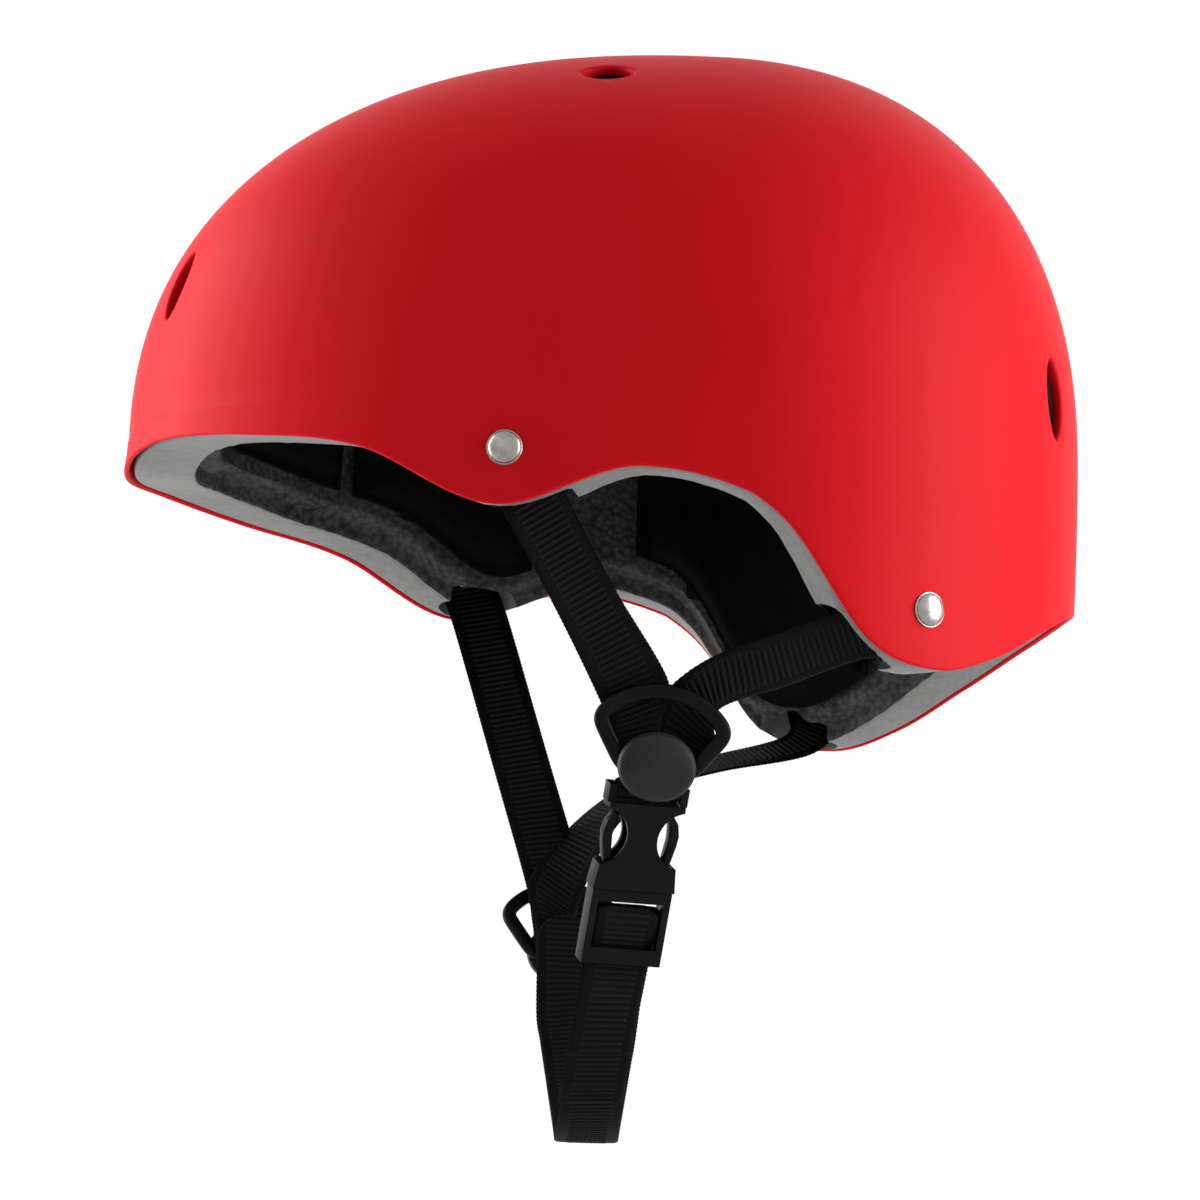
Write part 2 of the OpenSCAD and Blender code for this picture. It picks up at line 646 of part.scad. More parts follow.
// Free end of the webbing, which lies on the left leg's outer face and ends in a folded hem
tail_top = [0.1, -58.9];
tail_shift = [1.2, 0, 0];
tail_end_y = 31;
module strap_tail() {
    half = webbing_w / 2;
    edges = [for (s = [1, -1]) smoothed(concat([in_plug(s * half, tail_top[0], tail_top[1])],
        [for (p = chain_edge(leg_join_y, tail_end_y, leg_turn[1] + 2, leg_turn[0] + 4, s, 5, 2.2))
            p + tail_shift]), 2)];
    color("black") band(edges[0], edges[1], webbing_t);
}

outer_shell();
foam_liner();
brow_pad();
temple_pad();  // left_temple_pad
mirror([0, 1, 0]) temple_pad();  // right_temple_pad
side_pad();  // left_side_pad
mirror([0, 1, 0]) side_pad();  // right_side_pad
rear_pad();
crown_pad();
pad_hook_patches();
rivet(rivets[0]);  // front_left_rivet
rivet(rivets[1]);  // rear_left_rivet
rivet(rivets[2]);  // front_right_rivet
rivet(rivets[3]);  // rear_right_rivet
rivet_washers();
side_strap(straps[0]);  // front_left_strap
side_strap(straps[1]);  // rear_left_strap
side_strap(straps[2]);  // front_right_strap
side_strap(straps[3]);  // rear_right_strap
divider_ring(left_frame);  // left_divider_ring
divider_button(left_frame);  // left_divider_button
divider_post(left_frame, 4.4, 0);  // left_divider_post
divider_ring(right_frame);  // right_divider_ring
divider_button(right_frame);  // right_divider_button
divider_post(right_frame, 6, inner_y);  // right_divider_post
socket_tab();
buckle_socket();
chin_strap_right();
buckle_plug();
latch_prong(1);  // front_latch_prong
latch_prong(-1);  // rear_latch_prong
chin_strap_left();
strap_tail();
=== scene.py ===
"""Water sports helmet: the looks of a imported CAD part, laid out as an add-on and run as a script."""

import math

import bmesh
import bpy
import numpy as np
from mathutils import Matrix, Vector


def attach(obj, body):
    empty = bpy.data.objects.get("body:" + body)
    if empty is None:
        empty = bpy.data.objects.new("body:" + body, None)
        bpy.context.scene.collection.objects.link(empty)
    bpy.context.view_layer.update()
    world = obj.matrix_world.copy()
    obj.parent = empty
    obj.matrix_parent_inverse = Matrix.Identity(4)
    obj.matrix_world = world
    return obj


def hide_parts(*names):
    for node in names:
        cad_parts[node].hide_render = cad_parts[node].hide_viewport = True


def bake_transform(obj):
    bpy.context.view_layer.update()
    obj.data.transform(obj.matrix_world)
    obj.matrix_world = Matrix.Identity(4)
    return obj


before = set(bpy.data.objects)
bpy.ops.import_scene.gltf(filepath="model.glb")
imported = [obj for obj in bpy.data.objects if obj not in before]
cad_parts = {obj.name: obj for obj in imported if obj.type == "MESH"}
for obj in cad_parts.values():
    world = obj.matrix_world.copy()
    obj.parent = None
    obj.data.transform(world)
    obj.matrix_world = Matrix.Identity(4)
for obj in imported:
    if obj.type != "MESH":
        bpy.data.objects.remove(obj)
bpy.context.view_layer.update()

bl_info = {
    "name": "Water sports helmet",
    "version": (1, 0, 0),
    "blender": (4, 5, 0),
    "location": "3D View > Sidebar > Helmet",
    "description": "Builds a helmet's shell, liner, pads and webbing harness round its CAD frame",
    "category": "Object",
}

MM = 0.001

# ---------------------------------------------------------------- the shell's skins, in millimetres

MID_X = -25.5
REAR_L = 109.5
FRONT_L = 170.5
HALF_W = 107.0
CROWN_H = 123.0
FRONT_N, REAR_N, SIDE_N = 2.26, 2.28, 2.0
FRONT_BLUNT = 2.2
TUCK = 0.0107
LIP_FLARE, FLARE_H = 1.2, 6.0
SHELL_T = 3.0
EDGE_T, EDGE_RUN = 1.5, 12.0

RIM = np.array([[0, -9], [20, -7], [38, -10], [52, -15.5], [66, -32], [80, -21], [94, -32.5],
                [108, -64.5], [120, -71], [132, -65.5], [146, -54.5], [162, -45.5], [180, -42]], float)

FRONT_VENT, REAR_VENT, CROWN_VENT = (22.0, 8.5), (24.0, 11.5), (15.0, 11.5)
VENTS = [(s * a, z, size, turn) for s in (-1, 1) for a, z, size, turn in
         ((16.5, 41, FRONT_VENT, 0), (149, 14, REAR_VENT, 0), (68.5, 104.5, CROWN_VENT, 90))]
VENTS += [(0, 46, FRONT_VENT, 0), (180, 18, REAR_VENT, 0), (0, 103, CROWN_VENT, 0),
          (180, 108, CROWN_VENT, 0), (0, CROWN_H - 0.02, CROWN_VENT, 0)]

RIVETS = {"front_left": (67, -16.5), "rear_left": (118, -55),
          "front_right": (-67, -16.5), "rear_right": (-118, -55)}
ANCHOR_DEPTH = 4.9


def mix(a, b, t):
    """The value a share t of the way from a to b."""
    return a + (b - a) * t


def unit(v):
    """Vectors along the last axis, brought to length one."""
    v = np.asarray(v, float)
    return v / np.maximum(np.linalg.norm(v, axis=-1, keepdims=True), 1e-12)


def rim_height(a):
    """Height of the rim at bearing a: a cubic through the rim's points, whose slope at each inner
    point is that of the line between its neighbours. The two sides are alike."""
    b = np.abs((np.asarray(a, float) + 180) % 360 - 180)
    slope = np.zeros(len(RIM))
    slope[1:-1] = (RIM[2:, 1] - RIM[:-2, 1]) / (RIM[2:, 0] - RIM[:-2, 0])
    i = np.clip(np.searchsorted(RIM[:, 0], b, side="right") - 1, 0, len(RIM) - 2)
    w = RIM[i + 1, 0] - RIM[i, 0]
    t = (b - RIM[i, 0]) / w
    return (RIM[i, 1] * (1 + 2 * t) * (1 - t) ** 2 + slope[i] * w * t * (1 - t) ** 2
            + RIM[i + 1, 1] * t * t * (3 - 2 * t) + slope[i + 1] * w * t * t * (t - 1))


def dome(v, n):
    """What is left of a radius at share v of the height: the n-th root of one minus v to the n."""
    return np.maximum(0, 1 - np.asarray(v, float) ** n) ** (1 / n)


def plan_y(a):
    """Sideways share of the half width at bearing a: an ellipse behind, blunter in front."""
    c, s = np.cos(np.radians(a)), np.sin(np.radians(a))
    return np.where(c > 0, np.sign(s) * dome(np.abs(c), FRONT_BLUNT), s)


def skin(a, z, g):
    """Point at bearing a and height z on a skin g = (ends, sides, crown) inside the shell's face:
    half an oval in front and half behind, each drawn in by its dome above the base and by the
    square of the depth below it."""
    a, z = np.broadcast_arrays(np.asarray(a, float), np.asarray(z, float))
    v = np.clip(z / (CROWN_H - g[2]), 0, 1)
    pull = 1 - TUCK * np.maximum(0, -z / 50) ** 2
    c = np.cos(np.radians(a))
    rx = np.where(c > 0, (FRONT_L - g[0]) * dome(v, FRONT_N), (REAR_L - g[0]) * dome(v, REAR_N))
    ry = (HALF_W - g[1]) * dome(v, SIDE_N)
    return np.stack([MID_X + rx * c * pull, ry * plan_y(a) * pull, z], -1)


def skin_frame(a, z):
    """(point, side, up, outward normal) of the outer face, from small steps along it."""
    g = (0, 0, 0)
    n = unit(np.cross(skin(a + 0.5, z, g) - skin(a - 0.5, z, g),
                      skin(a, z + 0.25, g) - skin(a, z - 0.25, g)))
    side = np.array([0, 1.0, 0]) if math.hypot(n[0], n[1]) < 0.1 else unit(np.cross([0, 0, 1], n))
    return skin(a, z, g), side, np.cross(n, side), n


def outside(p, g=(0, 0, 0)):
    """Above zero where p is outside the skin g: the plan's powers at p's height, less one."""
    z = np.clip(p[..., 2] / (CROWN_H - g[2]), 0, 1)
    pull = 1 - TUCK * np.maximum(0, -p[..., 2] / 50) ** 2
    x = p[..., 0] - MID_X
    rx = pull * np.where(x > 0, (FRONT_L - g[0]) * dome(z, FRONT_N), (REAR_L - g[0]) * dome(z, REAR_N))
    ry = pull * (HALF_W - g[1]) * dome(z, SIDE_N)
    n = np.where(x > 0, FRONT_BLUNT, 2.0)
    return np.abs(x / np.maximum(rx, 1e-6)) ** n + np.abs(p[..., 1] / np.maximum(ry, 1e-6)) ** n - 1


def dropped_on_skin(p, n, g=(0, 0, 0), span=(-14.0, 6.0)):
    """p moved along n onto the skin g, by halving the span in which it crosses."""
    lo, hi = np.full(p.shape[:-1], span[0]), np.full(p.shape[:-1], span[1])
    for _ in range(26):
        mid = (lo + hi) / 2
        out = outside(p + mid[..., None] * n, g) > 0
        lo, hi = np.where(out, lo, mid), np.where(out, mid, hi)
    return p + mid[..., None] * n


# ---------------------------------------------------------------- making meshes

def new_piece(name, verts, faces, body, nodes=(), slot=None, material=None, uv=None, smooth=50):
    """A mesh object from millimetre points that stands for CAD nodes and rides on a body, or on none."""
    mesh = bpy.data.meshes.new(name)
    mesh.from_pydata((np.asarray(verts, float) * MM).tolist(), [], [list(map(int, f)) for f in faces])
    if uv is not None:
        layer = mesh.uv_layers.new(name="UVMap")
        loops = np.zeros(len(mesh.loops), np.int64)
        mesh.loops.foreach_get("vertex_index", loops)
        layer.data.foreach_set("uv", np.asarray(uv, np.float32)[loops].ravel())
    mesh.validate()
    obj = linked(name, mesh)
    shade(obj, smooth)
    if material:
        mesh.materials.append(material)
    if body:
        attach(obj, body)
    if nodes:
        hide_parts(*nodes)
    return recalculated(obj)


def shade(obj, angle):
    """Smooth shading, with edges sharper than the angle in degrees kept crisp."""
    obj.data.shade_smooth()
    obj.data.set_sharp_from_angle(angle=math.radians(angle))


def grid_faces(rows, cols, closed_rows=False, closed_cols=False, start=0):
    """Quads over a grid of rows x cols points that are numbered row by row."""
    r = np.arange(rows if closed_rows else rows - 1)
    c = np.arange(cols if closed_cols else cols - 1)
    i, j = np.meshgrid(r, c, indexing="ij")
    i2, j2 = (i + 1) % rows, (j + 1) % cols
    quad = np.stack([i * cols + j, i * cols + j2, i2 * cols + j2, i2 * cols + j], -1)
    return (quad.reshape(-1, 4) + start).tolist()


def recalculated(obj):
    """Merges doubles and turns every face outwards."""
    bm = bmesh.new()
    bm.from_mesh(obj.data)
    bmesh.ops.remove_doubles(bm, verts=bm.verts, dist=1e-6)
    bmesh.ops.recalc_face_normals(bm, faces=bm.faces)
    bm.to_mesh(obj.data)
    bm.free()
    return obj


def linked(name, data):
    """An object for the data, linked into the scene."""
    obj = bpy.data.objects.new(name, data)
    bpy.context.scene.collection.objects.link(obj)
    return obj


def capped_tube(rings, ends=None):
    """Points and faces of a tube through rings of points. Each end closes on a point: the one
    given, or the middle of its ring."""
    rings = np.asarray(rings)
    rows, around = rings.shape[:2]
    if ends is None:
        ends = [rings[0].mean(0), rings[-1].mean(0)]
    points = np.concatenate([rings.reshape(-1, 3), ends])
    here, base = np.arange(around), (rows - 1) * around
    after = (here + 1) % around
    first = np.stack([np.full(around, rows * around), after, here], -1)
    last = np.stack([np.full(around, rows * around + 1), base + here, base + after], -1)
    return points, grid_faces(rows, around, closed_cols=True) + first.tolist() + last.tolist()


def slab(front, back):
    """Points and faces of a closed slab between two grids of points of one shape."""
    rows, cols = front.shape[:2]
    count = rows * cols
    points = np.concatenate([front.reshape(-1, 3), back.reshape(-1, 3)])
    faces = [f[::-1] for f in grid_faces(rows, cols)] + grid_faces(rows, cols, start=count)
    number = np.arange(count).reshape(rows, cols)
    border = np.concatenate([number[0], number[1:, -1], number[-1, -2::-1], number[-2:0:-1, 0]])
    after = np.roll(border, -1)
    rim = np.stack([border, after, after + count, border + count], -1)
    return points, faces + rim.tolist()


def revolved(profile, around, origin, axis, side, scale=(1, 1)):
    """A profile of (radius, height) turned about an axis. Its ends lie on the axis."""
    profile = np.asarray(profile, float)
    axis, side = unit(axis), unit(side)
    third = np.cross(axis, side)
    t = np.linspace(0, 2 * np.pi, around, endpoint=False)
    ring = np.cos(t)[:, None] * side * scale[0] + np.sin(t)[:, None] * third * scale[1]
    body = profile[1:-1]
    rings = np.asarray(origin) + body[:, 0, None, None] * ring + body[:, 1, None, None] * axis
    return capped_tube(rings, [origin + profile[0, 1] * axis, origin + profile[-1, 1] * axis])


def joined(parts):
    """Several (points, faces) as one."""
    points, faces, start = [], [], 0
    for part_points, part_faces in parts:
        points.append(np.asarray(part_points, float))
        faces += [[i + start for i in face] for face in part_faces]
        start += len(part_points)
    return np.concatenate(points), faces


def cut(obj, cutter):
    """Takes the cutter's solid out of obj and removes the cutter."""
    mod = obj.modifiers.new("cut", "BOOLEAN")
    mod.operation, mod.solver, mod.object = "DIFFERENCE", "EXACT", cutter
    bpy.context.view_layer.update()
    made = bpy.data.meshes.new_from_object(obj.evaluated_get(bpy.context.evaluated_depsgraph_get()))
    obj.modifiers.remove(mod)
    old, obj.data = obj.data, made
    bpy.data.meshes.remove(old)
    bpy.data.objects.remove(cutter)
    return obj


# ---------------------------------------------------------------- shader groups and materials

def link(tree, a, b):
    """Joins an output socket to an input socket."""
    tree.links.new(a, b)


def node(tree, kind, **values):
    """A shader node, with its inputs or settings given by name."""
    made = tree.nodes.new(kind)
    for key, value in values.items():
        key = key.replace("_", " ") if key.replace("_", " ") in made.inputs else key
        if key in made.inputs:
            made.inputs[key].default_value = value
        else:
            setattr(made, key, value)
    return made


def math_node(tree, operation, *values):
    """A maths node's output, from values that are numbers or other nodes' outputs."""
    made = node(tree, "ShaderNodeMath", operation=operation)
    for socket, value in zip(made.inputs, values):
        if hasattr(value, "links"):
            link(tree, value, socket)
        else:
            socket.default_value = value
    return made.outputs[0]


def new_group(name, inputs, outputs):
    """An empty shader group with named sockets."""
    tree = bpy.data.node_groups.new(name, "ShaderNodeTree")
    for label, kind, value in inputs:
        socket = tree.interface.new_socket(label, in_out="INPUT", socket_type=kind)
        if value is not None:
            socket.default_value = value
    for label, kind in outputs:
        tree.interface.new_socket(label, in_out="OUTPUT", socket_type=kind)
    return tree, tree.nodes.new("NodeGroupInput"), tree.nodes.new("NodeGroupOutput")


def grain_group():
    """Moulded grain: fine noise for bump and a slow drift for gloss and colour."""
    tree, inp, out = new_group("moulded_grain", [
        ("Vector", "NodeSocketVector", None), ("Grain", "NodeSocketFloat", 900.0),
        ("Drift", "NodeSocketFloat", 12.0)],
        [("Height", "NodeSocketFloat"), ("Drift", "NodeSocketFloat")])
    fine = node(tree, "ShaderNodeTexNoise", Detail=3.0, Roughness=0.6)
    slow = node(tree, "ShaderNodeTexNoise", Detail=4.0, Roughness=0.55)
    for tex, scale in ((fine, "Grain"), (slow, "Drift")):
        link(tree, inp.outputs["Vector"], tex.inputs["Vector"])
        link(tree, inp.outputs[scale], tex.inputs["Scale"])
    link(tree, fine.outputs["Fac"], out.inputs["Height"])
    link(tree, slow.outputs["Fac"], out.inputs["Drift"])
    return tree


def weave_group():
    """Woven threads from a surface's own lengths in millimetres: warp and weft waves, crossed."""
    tree, inp, out = new_group("woven_threads", [
        ("UV", "NodeSocketVector", None), ("Warp", "NodeSocketFloat", 1.0),
        ("Weft", "NodeSocketFloat", 1.0)],
        [("Height", "NodeSocketFloat")])
    parts = node(tree, "ShaderNodeSeparateXYZ")
    link(tree, inp.outputs["UV"], parts.inputs[0])
    wave = []
    for axis, pitch in (("X", "Warp"), ("Y", "Weft")):
        turn = math_node(tree, "MULTIPLY", math_node(
            tree, "DIVIDE", parts.outputs[axis], inp.outputs[pitch]), 2 * math.pi)
        wave.append(math_node(tree, "SINE", turn))
    mixed = math_node(tree, "MULTIPLY_ADD", math_node(tree, "MULTIPLY", *wave), 0.5, 0.5)
    link(tree, mixed, out.inputs["Height"])
    return tree


def place_group(tree, group, **values):
    """A shader group placed in a material, with its inputs given by name."""
    made = tree.nodes.new("ShaderNodeGroup")
    made.node_tree = group
    for key, value in values.items():
        if hasattr(value, "links"):
            link(tree, value, made.inputs[key])
        else:
            made.inputs[key].default_value = value
    return made


def new_material(name, **sockets):
    """A material with its Principled shader's own values set by socket name."""
    mat = bpy.data.materials.new(name)
    mat.use_nodes = True
    tree = mat.node_tree
    shader = tree.nodes["Principled BSDF"]
    for key, value in sockets.items():
        shader.inputs[key.replace("_", " ")].default_value = value
    return mat, tree, shader


def coords(tree, output="Object"):
    """Places on the piece: its own coordinates, or its UV map."""
    return tree.nodes.new("ShaderNodeTexCoord").outputs[output]


def ramp(tree, factor, stops):
    """A colour ramp over a factor: stops are (place, colour)."""
    made = tree.nodes.new("ShaderNodeValToRGB")
    for _ in range(len(stops) - 2):
        made.color_ramp.elements.new(0.5)
    for element, (place, colour) in zip(made.color_ramp.elements, stops):
        element.position = place
        element.color = (*colour, 1) if len(colour) == 3 else colour
    link(tree, factor, made.inputs["Fac"])
    return made.outputs["Color"]


def spread(tree, factor, low, high):
    """The factor's middle half stretched to run from low to high."""
    made = node(tree, "ShaderNodeMapRange")
    for key, value in (("From Min", 0.3), ("From Max", 0.7), ("To Min", low), ("To Max", high)):
        made.inputs[key].default_value = value
    link(tree, factor, made.inputs["Value"])
    return made.outputs["Result"]


def bump(tree, shader, height, strength, distance):
    """Raises the shader's normal by a height, for a given depth in metres."""
    made = node(tree, "ShaderNodeBump", Strength=strength, Distance=distance)
    link(tree, height, made.inputs["Height"])
    link(tree, made.outputs["Normal"], shader.inputs["Normal"])


def moulded(name, dark, light, rough, grain, depth, drift=10.0, **sockets):
    """A moulded surface: two near tones that drift, fine grain and gloss that wanders a little."""
    mat, tree, shader = new_material(name, **sockets)
    g = place_group(tree, GROUPS["grain"], Vector=coords(tree), Grain=grain, Drift=drift)
    link(tree, ramp(tree, g.outputs["Drift"], [(0.35, dark), (0.65, light)]),
         shader.inputs["Base Color"])
    link(tree, spread(tree, g.outputs["Drift"], *rough), shader.inputs["Roughness"])
    bump(tree, shader, g.outputs["Height"], 0.35, depth)
    return mat


def rib_highlight(tree):
    """Painted highlight mask: one on each raised rib of the webbing and zero between them and on its
    plain borders.
    """
    parts = node(tree, "ShaderNodeSeparateXYZ")
    link(tree, coords(tree, "UV"), parts.inputs[0])
    wave = math_node(tree, "COSINE", math_node(tree, "MULTIPLY", parts.outputs["Y"],
                                               2 * math.pi / RIB_PITCH))
    ridge = math_node(tree, "MULTIPLY_ADD", wave, 0.5, 0.5)
    inner = math_node(tree, "LESS_THAN", math_node(tree, "ABSOLUTE", parts.outputs["X"]),
                      RIB_REACH * WEB_W / 2)
    return math_node(tree, "MULTIPLY", ridge, inner)


def woven(name, dark, light, warp, weft, depth, rough=(0.62, 0.78), rib_highlight_share=0.0, **sockets):
    """Woven cloth on its own UV map, in millimetres: threads for bump and tone, plus loose fuzz.
    A share above zero for the ribs paints a highlight on the raised ribs: their base colour is lightened
    to stand in for their sheen."""
    mat, tree, shader = new_material(name, **sockets)
    w = place_group(tree, GROUPS["weave"], UV=coords(tree, "UV"), Warp=warp, Weft=weft)
    g = place_group(tree, GROUPS["grain"], Vector=coords(tree), Grain=1600.0, Drift=45.0)
    tone = math_node(tree, "MULTIPLY_ADD", w.outputs["Height"], 0.55,
                     math_node(tree, "MULTIPLY", g.outputs["Drift"], 0.45))
    # Painted highlight: the raised ribs are lightened in the base colour to stand in for their sheen
    if rib_highlight_share:
        plain = math_node(tree, "MULTIPLY", tone, 1 - rib_highlight_share)
        tone = math_node(tree, "MULTIPLY_ADD", rib_highlight(tree), rib_highlight_share, plain)
    link(tree, ramp(tree, tone, [(0.25, dark), (0.8, light)]), shader.inputs["Base Color"])
    link(tree, spread(tree, g.outputs["Drift"], *rough), shader.inputs["Roughness"])
    height = math_node(tree, "MULTIPLY_ADD", g.outputs["Height"], 0.35, w.outputs["Height"])
    bump(tree, shader, height, 0.6, depth)
    return mat


def foam_material(name, dark, light, rough, cell, depth):
    """Moulded bead foam: rounded cells pressed flat under a skin, with darker seams between."""
    mat, tree, shader = new_material(name, Specular_IOR_Level=0.2)
    place = coords(tree)
    cells = node(tree, "ShaderNodeTexVoronoi", feature="SMOOTH_F1", Scale=cell, Smoothness=0.6)
    link(tree, place, cells.inputs["Vector"])
    g = place_group(tree, GROUPS["grain"], Vector=place, Grain=1400.0, Drift=60.0)
    tone = math_node(tree, "MULTIPLY_ADD", cells.outputs["Distance"], 0.7,
                     math_node(tree, "MULTIPLY", g.outputs["Drift"], 0.4))
    link(tree, ramp(tree, tone, [(0.3, light), (0.85, dark)]), shader.inputs["Base Color"])
    link(tree, spread(tree, g.outputs["Drift"], *rough), shader.inputs["Roughness"])
    height = math_node(tree, "MULTIPLY_ADD", cells.outputs["Distance"], -1.0,
                       math_node(tree, "MULTIPLY", g.outputs["Height"], 0.3))
    bump(tree, shader, height, 0.5, depth)
    return mat


def plated_metal(name, dark=(0.24, 0.225, 0.2), light=(0.46, 0.44, 0.41)):
    """Nickel plate: bright, with slow stains and fine scratches."""
    mat, tree, shader = new_material(name, Metallic=1.0)
    g = place_group(tree, GROUPS["grain"], Vector=coords(tree), Grain=2500.0, Drift=220.0)
    link(tree, ramp(tree, g.outputs["Drift"], [(0.3, dark), (0.7, light)]), shader.inputs["Base Color"])
    link(tree, spread(tree, g.outputs["Drift"], 0.2, 0.34), shader.inputs["Roughness"])
    bump(tree, shader, g.outputs["Height"], 0.15, 0.00003)
    return mat


GROUPS, MATS = {}, {}


def make_materials(look):
    """Builds the shared groups and each finish, once."""
    GROUPS["grain"] = grain_group()
    GROUPS["weave"] = weave_group()
    red = np.array(look.shell_colour)
    MATS["shell"] = moulded("soft_touch_red", red * 0.95, red * 1.04, (0.44, 0.52), 1300.0,
                            0.00003, 9.0, Specular_IOR_Level=0.07)
    MATS["foam"] = foam_material("liner_foam_skin", (0.16, 0.163, 0.158), (0.205, 0.208, 0.202),
                                 (0.3, 0.38), 420.0, 0.0001)
    MATS["foam_rough"] = foam_material("liner_foam_open", (0.006, 0.006, 0.0065), (0.06, 0.058, 0.056),
                                       (0.5, 0.8), 520.0, 0.0008)
    MATS["pad"] = woven("pad_cloth", (0.0025, 0.0028, 0.0026), (0.005, 0.0054, 0.0052), 0.9, 0.9,
                        0.0001, (0.8, 0.95), Specular_IOR_Level=0.02)
    MATS["hook"] = woven("hook_tape", (0.004, 0.004, 0.0044), (0.012, 0.012, 0.0125), 1.1, 1.1, 0.0005,
                         Specular_IOR_Level=0.05)
    # The webbing's raised ribs get a painted highlight of share 0.45
    MATS["webbing"] = woven("webbing", (0.0028, 0.0026, 0.0025), (0.0125, 0.0114, 0.0106), 1.3, 0.85,
                            0.00013, (0.5, 0.66), 0.45, Specular_IOR_Level=0.05)
    MATS["gloss"] = moulded("harness_plastic", (0.004, 0.004, 0.0042), (0.007, 0.007, 0.0072),
                            (0.2, 0.3), 900.0, 0.00003, 60.0, Specular_IOR_Level=0.07)
    MATS["button"] = moulded("button_plastic", (0.013, 0.014, 0.014), (0.024, 0.025, 0.025),
                             (0.4, 0.5), 700.0, 0.00008, 80.0, Specular_IOR_Level=0.16)
    MATS["metal"] = plated_metal("nickel_plate")


# ---------------------------------------------------------------- shell and liner

def bowl(rings):
    """Points and faces of a closed bowl. The rings run from the outer crown down, under the rim
    and up to the inner crown; the two ends close on a point at their ring's height."""
    ends = [np.append(ring[:, :2].mean(0), ring[:, 2].max()) for ring in (rings[0], rings[-1])]
    points, faces = capped_tube(rings, ends)
    return points, [f[::-1] for f in faces]


def lens_outline(size, grow, count):
    """A lens: half width falls with the square of the place along it, to a small round tip."""
    t = np.linspace(0, 2 * np.pi, count, endpoint=False)
    v = np.sin(t)
    half_l, half_w = size[0] / 2, size[1] / 2
    w = np.sign(np.cos(t)) * np.abs(np.cos(t)) ** 1.25 * half_w
    p = np.stack([w, v * half_l], -1)
    d = np.roll(p, -1, 0) - np.roll(p, 1, 0)
    n = unit(np.stack([d[:, 1], -d[:, 0]], -1))
    return p + n * grow


def vent_cutter(vent, steps, count=48):
    """A tube of lenses that follows the shell's face: each step is (depth, growth)."""
    a, z, size, turned = vent
    p, side, up, n = skin_frame(a, z)
    c, s = math.cos(math.radians(turned)), math.sin(math.radians(turned))
    across, along = side * c + up * s, up * c - side * s
    rings = []
    for depth, grow in steps:
        o = lens_outline(size, grow, count)
        q = p + o[:, :1] * across + o[:, 1:] * along
        on = dropped_on_skin(q, n) if z > 0 else q
        rings.append(on - depth * n)
    return capped_tube(rings)


def cutter_object(parts):
    """The solid that the parts make together, to be cut out of a piece."""
    points, faces = joined(parts)
    mesh = bpy.data.meshes.new("cutter")
    mesh.from_pydata((points * MM).tolist(), [], faces)
    return recalculated(linked("cutter", mesh))


def bearings(around):
    """Even bearings all the way round, in degrees."""
    return np.arange(around) * 360 / around


def dome_rings(a, rows, g):
    """Rings of the skin g from the base up to the crown, closer together towards the crown."""
    heights = (CROWN_H - g[2]) * np.sin(np.linspace(0, np.pi / 2, rows + 1))[:-1]
    return [skin(a, z, g) for z in heights]


def low_shares(rows):
    """Shares of the way from the rim to the dome's base."""
    return np.linspace(0, 1, rows + 1)[:-1]


def shell_lip(a, z):
    """Outward turn of the lip: falls off with height above the rim, and only in front."""
    return (LIP_FLARE * np.exp(-(z - rim_height(a)) / FLARE_H)
            * np.maximum(0, np.cos(np.radians(a))))


def shell_point(a, z, g):
    """Point on the skin g with the lip's outward turn added along its bearing."""
    a, z = np.broadcast_arrays(a, z)
    r = np.radians(a)
    return skin(a, z, g) + shell_lip(a, z)[..., None] * np.stack(
        [np.cos(r), np.sin(r), np.zeros_like(r)], -1)


def wall(rise):
    """The wall's thickness at a height above the rim: thin at its edge, full a little way up."""
    t = np.clip(rise / EDGE_RUN, 0, 1)
    return mix(EDGE_T, SHELL_T, t * t * (3 - 2 * t))


VENT_LIP = [(-3, 3.2), (-0.6, 1.55), (0.0, 1.1), (0.1, 0.72), (0.35, 0.36), (0.75, 0.1), (1.3, 0),
            (2.6, 0), (3.4, 0.5), (5.5, 1.2)]


def build_shell(look):
    """The hard shell: outer and inner skin joined by a rounded lip, with lens vents."""
    low, high = 16, 46
    a = bearings(look.shell_around)
    rim = rim_height(a)
    edge = EDGE_T / 2
    rings = dome_rings(a, high, (0, 0, 0))[::-1]
    for s in low_shares(low)[:0:-1]:
        rings.append(shell_point(a, mix(rim + edge, 0, s), (0, 0, 0)))
    for t in np.linspace(0, np.pi, 9):
        rings.append(shell_point(a, rim + edge * (1 - math.sin(t)), (edge * (1 - math.cos(t)),) * 3))
    for s in low_shares(low)[1:]:
        z = mix(rim + edge, 0, s)
        rings.append(shell_point(a, z, [wall(z - rim)] * 3))
    rings += dome_rings(a, high, (SHELL_T,) * 3)
    obj = new_piece("helmet_shell", *bowl(rings), "helmet", ["outer_shell"], "shell_plastic",
                    MATS["shell"])
    cut(obj, cutter_object([vent_cutter(v, VENT_LIP) for v in VENTS]))
    shade(obj, 50)


LINER_END_T, LINER_SIDE_T, LINER_CROWN_T = 24.0, 18.0, 23.0
LINER_STEP = 7.0
LINER_OUT = np.array([SHELL_T + 0.3] * 3)
LINER_IN = np.array([SHELL_T + LINER_END_T, SHELL_T + LINER_SIDE_T, SHELL_T + LINER_CROWN_T])
LINER_BOTTOM_IN = LINER_IN - [LINER_STEP, LINER_STEP - 1, 0]
LINER_RISE = 0.35
LINER_GAP = 0.3


LINER_UNDER = [(0.0, 1.2), (0.15, 0.5), (0.5, 0.12), (1.2, 0.0)]
LINER_EDGE = [(-0.5, 0.1), (-0.1, 0.5), (0.1, 1.3), (0.3, 3.2), (0.7, 4.6), (1.6, 5.1)]
VENT_SHAFT = [(-1, 1.0), (4, 1.0), (12, 1.0), (26, 1.0), (40, 1.0)]


